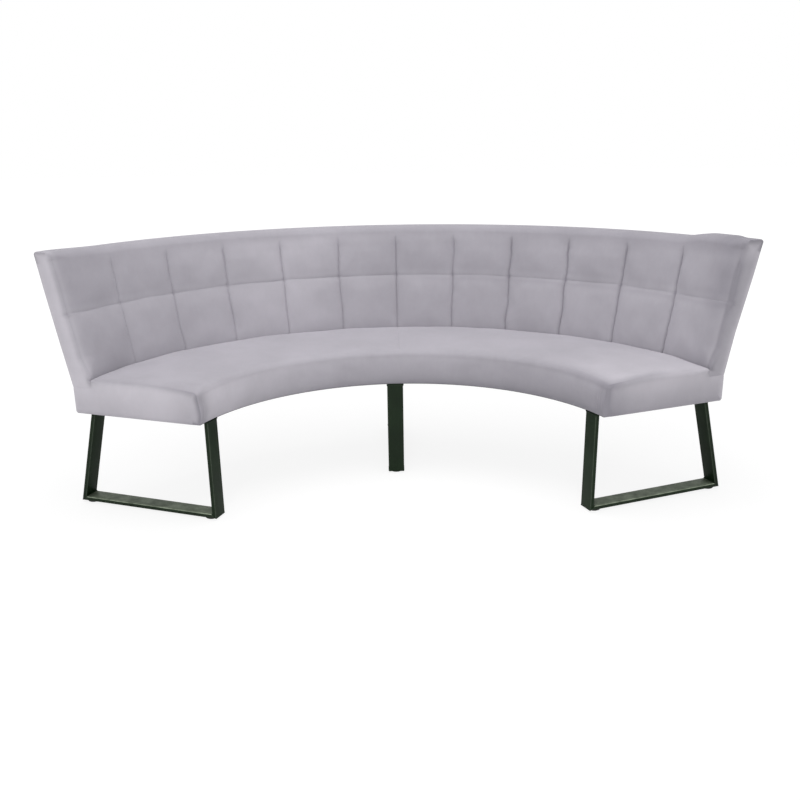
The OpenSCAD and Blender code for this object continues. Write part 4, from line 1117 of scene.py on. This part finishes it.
for half, sign in HALVES.items():
    painted_rear_tone, painted_sole_shade = REAR_PAINTED_TONES[sign]
    seat_side, back_side = thinned(seat_rims[half], 0.0005), thinned(back_rims[half], 0.0005)
    wall = seat_side[np.argmax(seat_side[:, 1] > slit_top):]
    over = back_side[:, 1] > slit_top
    slit = back_side[~over][::-1]
    pad_foot, hem_end = (back_side[-1, 0], back_start), (wall[-1, 0], hem_height)
    rear_out = outer_radius + ear(sign, outer_radius * math.sin(end_cover_angle), back_start)[0]
    heel, sole = (rear_out, back_start), (rear_out, hem_height)
    ledge = np.array([[*heel, edge_round, edge_round, 0.5]])
    ledge = np.concatenate([
        ledge, ledge - np.array(ring_steps)[:, None] * [1.0, 0, 0, 0, 0],
        straight((rear_out - 0.022, back_start), pad_foot, 0.004)])
    across_slit = straight(slit[-1, :2], wall[0, :2], 0.001)
    bottom, rear = straight(hem_end, sole, edge_step, painted_sole_shade), straight(sole, heel, edge_step, painted_rear_tone)
    lip = back_radius(0, lip_height), lip_height
    rear_lean = straight((outer_radius, back_start), lip, edge_step, painted_rear_tone)
    drawn, raised = ear(sign, rear_lean[:, 0] * math.sin(end_cover_angle), rear_lean[:, 1])
    rear_lean[:, :2] += layered(drawn, raised)
    seat_outline = np.concatenate([ledge, slit[:-1], across_slit, wall[:-1], bottom, rear])
    # The pad's foot gets a painted shade of 0.3
    back_outline = np.concatenate([
        rear_lean, back_side[:-1], [[*pad_foot, edge_round, edge_round, 0.3]], ledge[::-1][:-1]])
    silhouette = np.concatenate([across_slit, wall[:-1], bottom, rear, rear_lean, back_side[over]])
    end_panel("seat", half, seat_outline, silhouette)
    end_panel("back", half, back_outline, silhouette)

# Rear cover and rear band
# The back's rear is one sheet of the same velour, sewn to the roll's lip and stapled under
# the base; a band of it goes round the rear of the seat block and turns under.
sheet_thickness, sheet_columns, sheet_rows = 0.0014, 420, 60
drag_size, most_drag = 0.0007, 0.0004
rear_angles = np.linspace(-body_half, body_half, sheet_columns)[:, None]


def rear_sheet(name, line, node):
    """A sheet round the rear from a (radius, height) line: its outer face, with slight drag lines
    between its edges, and its inner face a cloth's thickness behind."""
    lengths, share = run_length(np.array(line)), np.linspace(0, 1, sheet_rows)
    section = picked(np.array(line)[None], share * lengths[-1], lengths)[0]
    out = unit(outward(section[None])[0])
    radius, height = section.T
    drag = drag_size * waves(rear_angles * outer_radius, 0.3 * height, 7, 0.3, 6)
    drag = np.minimum(drag, most_drag) * np.sin(math.pi * share)
    from_end = radius * np.sin(half_angle - np.abs(rear_angles))
    drawn, raised = (
        np.where(rear_angles < 0, left, right)
        for left, right in zip(ear(-1, from_end, height), ear(1, from_end, height)))
    outer, inner = (
        arc_place(radius + out[:, 0] * off + drawn, rear_angles, height + out[:, 1] * off + raised)
        for off in (drag, drag - sheet_thickness))
    uv = layered(rear_angles * outer_radius, run_length(section))
    piece = closed_shell(name, outer, inner, velour, 0.5, uv)
    hand_over(piece, node)


rear_top = lip_height - 0.0003
back_line = [(outer_radius, back_start), (back_radius(0, rear_top), rear_top)]
rear_sheet("back_rear_sheet", back_line, "back_rear_cover")
turn_under = np.linspace(0, math.pi / 2, 8)
hem_line = layered(
    outer_radius - hem_corner * (1 - np.sin(turn_under)), hem_height + hem_corner * (1 - np.cos(turn_under)))
band_line = [(outer_radius - hem_width, hem_height), *hem_line, (outer_radius, back_start)]
rear_sheet("seat_rear_band_sheet", band_line, "seat_rear_band")

# Underside cloth
# Black non-woven dust cloth, cut to the seat's outline, is stapled to the rails underneath.
# Leg plates press it flat, and it hangs a little between them.
cloth_thickness, cloth_sag, plate_reach = 0.0009, 0.0035, 0.09
cloth_top, cloth_under = hem_height, hem_height - cloth_thickness
cloth_columns, cloth_rows = 300, 60
cloth_angles = np.linspace(-body_half, body_half, cloth_columns)[:, None]
cloth_radii = np.linspace(inner_radius + cover_thickness, outer_radius - cover_thickness, cloth_rows)


def dust_cloth_material():
    """Non-woven cloth: near black, matt, with a fine fibrous mottle."""
    stops = (0.35, (0.008, 0.008, 0.009)), (0.65, (0.022, 0.022, 0.024))
    return mottled_material("dust_cloth", (0.012, 0.012, 0.013), 0.95, (480.0, 5.0, 0.7), stops, 0.0003)


x_here, y_here = cloth_radii * np.sin(cloth_angles), cloth_radii * np.cos(cloth_angles)
sag = cloth_sag * np.sin(math.pi * np.linspace(0, 1, cloth_rows))
for angle, side_middle in LEGS.values():
    across = y_here * math.sin(angle) - x_here * math.cos(angle)
    sag = sag * (1 - bell(across - side_middle, plate_reach))
sag = sag * np.clip((half_angle - np.abs(cloth_angles)) / 0.1, 0, 1)
sag = sag * (1 + 0.25 * waves(x_here, y_here, 5, 0.4, 6))
sag = np.maximum(sag, 0)
upper, under = (arc_place(cloth_radii, cloth_angles, face - sag) for face in (cloth_top, cloth_under))
dust_cloth = closed_shell("underside_dust_cloth", upper, under, dust_cloth_material())
hand_over(dust_cloth, "underside_cloth")

# Staples
# Zinc plated crowns, 10 mm wide and a wire's thickness proud, hold the dust cloth's edges to
# the rails about every 40 mm.
staple_width, staple_wire, staple_pitch, staple_margin = 0.010, 0.0009, 0.040, 0.012
most_tilt, tilt_rate = 0.25, 37.0
cube_faces = np.array([(0, 1, 3, 2), (4, 6, 7, 5), (0, 4, 5, 1), (2, 3, 7, 6), (0, 2, 6, 4), (1, 5, 7, 3)])
cube_corners = np.array([(i, j, k) for i in (-0.5, 0.5) for j in (-0.5, 0.5) for k in (0, -1)])
crowns = []
for radius in (inner_radius + staple_margin, outer_radius - staple_margin):
    for angle in np.arange(-body_half + 0.02, body_half - 0.015, staple_pitch / radius):
        tilt = angle + most_tilt * math.sin(tilt_rate * angle)
        axes = np.array([(math.cos(tilt), -math.sin(tilt), 0), (math.sin(tilt), math.cos(tilt), 0), (0, 0, 1)])
        crown = cube_corners * [staple_width, staple_wire, staple_wire] @ axes
        crowns.append(arc_place(radius, angle, cloth_under) + crown)
staples = mesh_object("dust_cloth_staples", np.concatenate(crowns), repeated(cube_faces, len(crowns)), zinc)
hand_over(staples)

# Floor and light
# White sweep, seen as plain white but still taking the bench's soft shadow; a wide soft light
# above, another before it a little to the left, and an even glow all round.
floor_reach = 30
white = (1.0, 1.0, 1.0, 1.0)


def floor_material():
    """White floor: to the camera mostly its own even white, with a share of real shading round the
    bench so that contact shadows stay; to all other rays an ordinary pale floor."""
    made, tree, surface, where = shader("white_sweep", (0.86, 0.86, 0.86), 0.9)
    feed(tree, surface, {"Specular IOR Level": 0.0})
    reach = add(tree, "VectorMath", {0: where}, operation="LENGTH").outputs["Value"]
    spread = {"Value": reach, "From Min": 1.3, "From Max": 2.6, "To Min": 0.80, "To Max": 1.0}
    even = add(tree, "MapRange", spread).outputs["Result"]
    share = joined(tree, "MULTIPLY", add(tree, "LightPath").outputs["Is Camera Ray"], even)
    glow = add(tree, "Emission", {"Color": white, "Strength": 1.07}).outputs[0]
    blend = add(tree, "MixShader", {"Fac": share, 1: surface.outputs[0], 2: glow}).outputs[0]
    feed(tree, tree.nodes["Material Output"], {"Surface": blend})
    return made


def lamp(name, place, target, size, power, colour):
    """A rectangular soft light at a place, turned towards a target; size in metres."""
    data = bpy.data.lights.new(name, "AREA")
    data.shape = "RECTANGLE"
    data.size, data.size_y = size
    data.energy, data.color = power, colour
    light = put_in_scene(name, data)
    light.rotation_euler = (Vector(target) - Vector(place)).to_track_quat("-Z", "Y").to_euler()
    light.location = place


corners = [(x * floor_reach, y * floor_reach, 0) for x, y in ((-1, -1), (1, -1), (1, 1), (-1, 1))]
floor_mesh = bpy.data.meshes.new("studio_floor")
floor_mesh.from_pydata(corners, [], [(0, 1, 2, 3)])
floor_mesh.materials.append(floor_material())
floor = put_in_scene("studio_floor", floor_mesh)

world = bpy.data.worlds.new("studio")
bpy.context.scene.world = world
world.use_nodes = True
sky = world.node_tree
rays = add(sky, "LightPath").outputs
seen = joined(sky, "MAXIMUM", rays["Is Camera Ray"], rays["Is Transmission Ray"])
feed(sky, sky.nodes["Background"], {"Color": mixed(sky, seen, (0.50, 0.50, 0.505, 1.0), white)})
lamp("overhead_softbox", (-0.1, -0.1, 3.6), (0.0, 0.0, 0.4), (3.0, 2.6), 80.0, (1.0, 0.995, 0.985))
lamp("front_softbox", (-0.3, -4.3, 2.3), (0.0, 0.1, 0.6), (2.0, 1.8), 66.0, (1.0, 0.995, 0.99))

bpy.context.scene.view_settings.view_transform = "Standard"
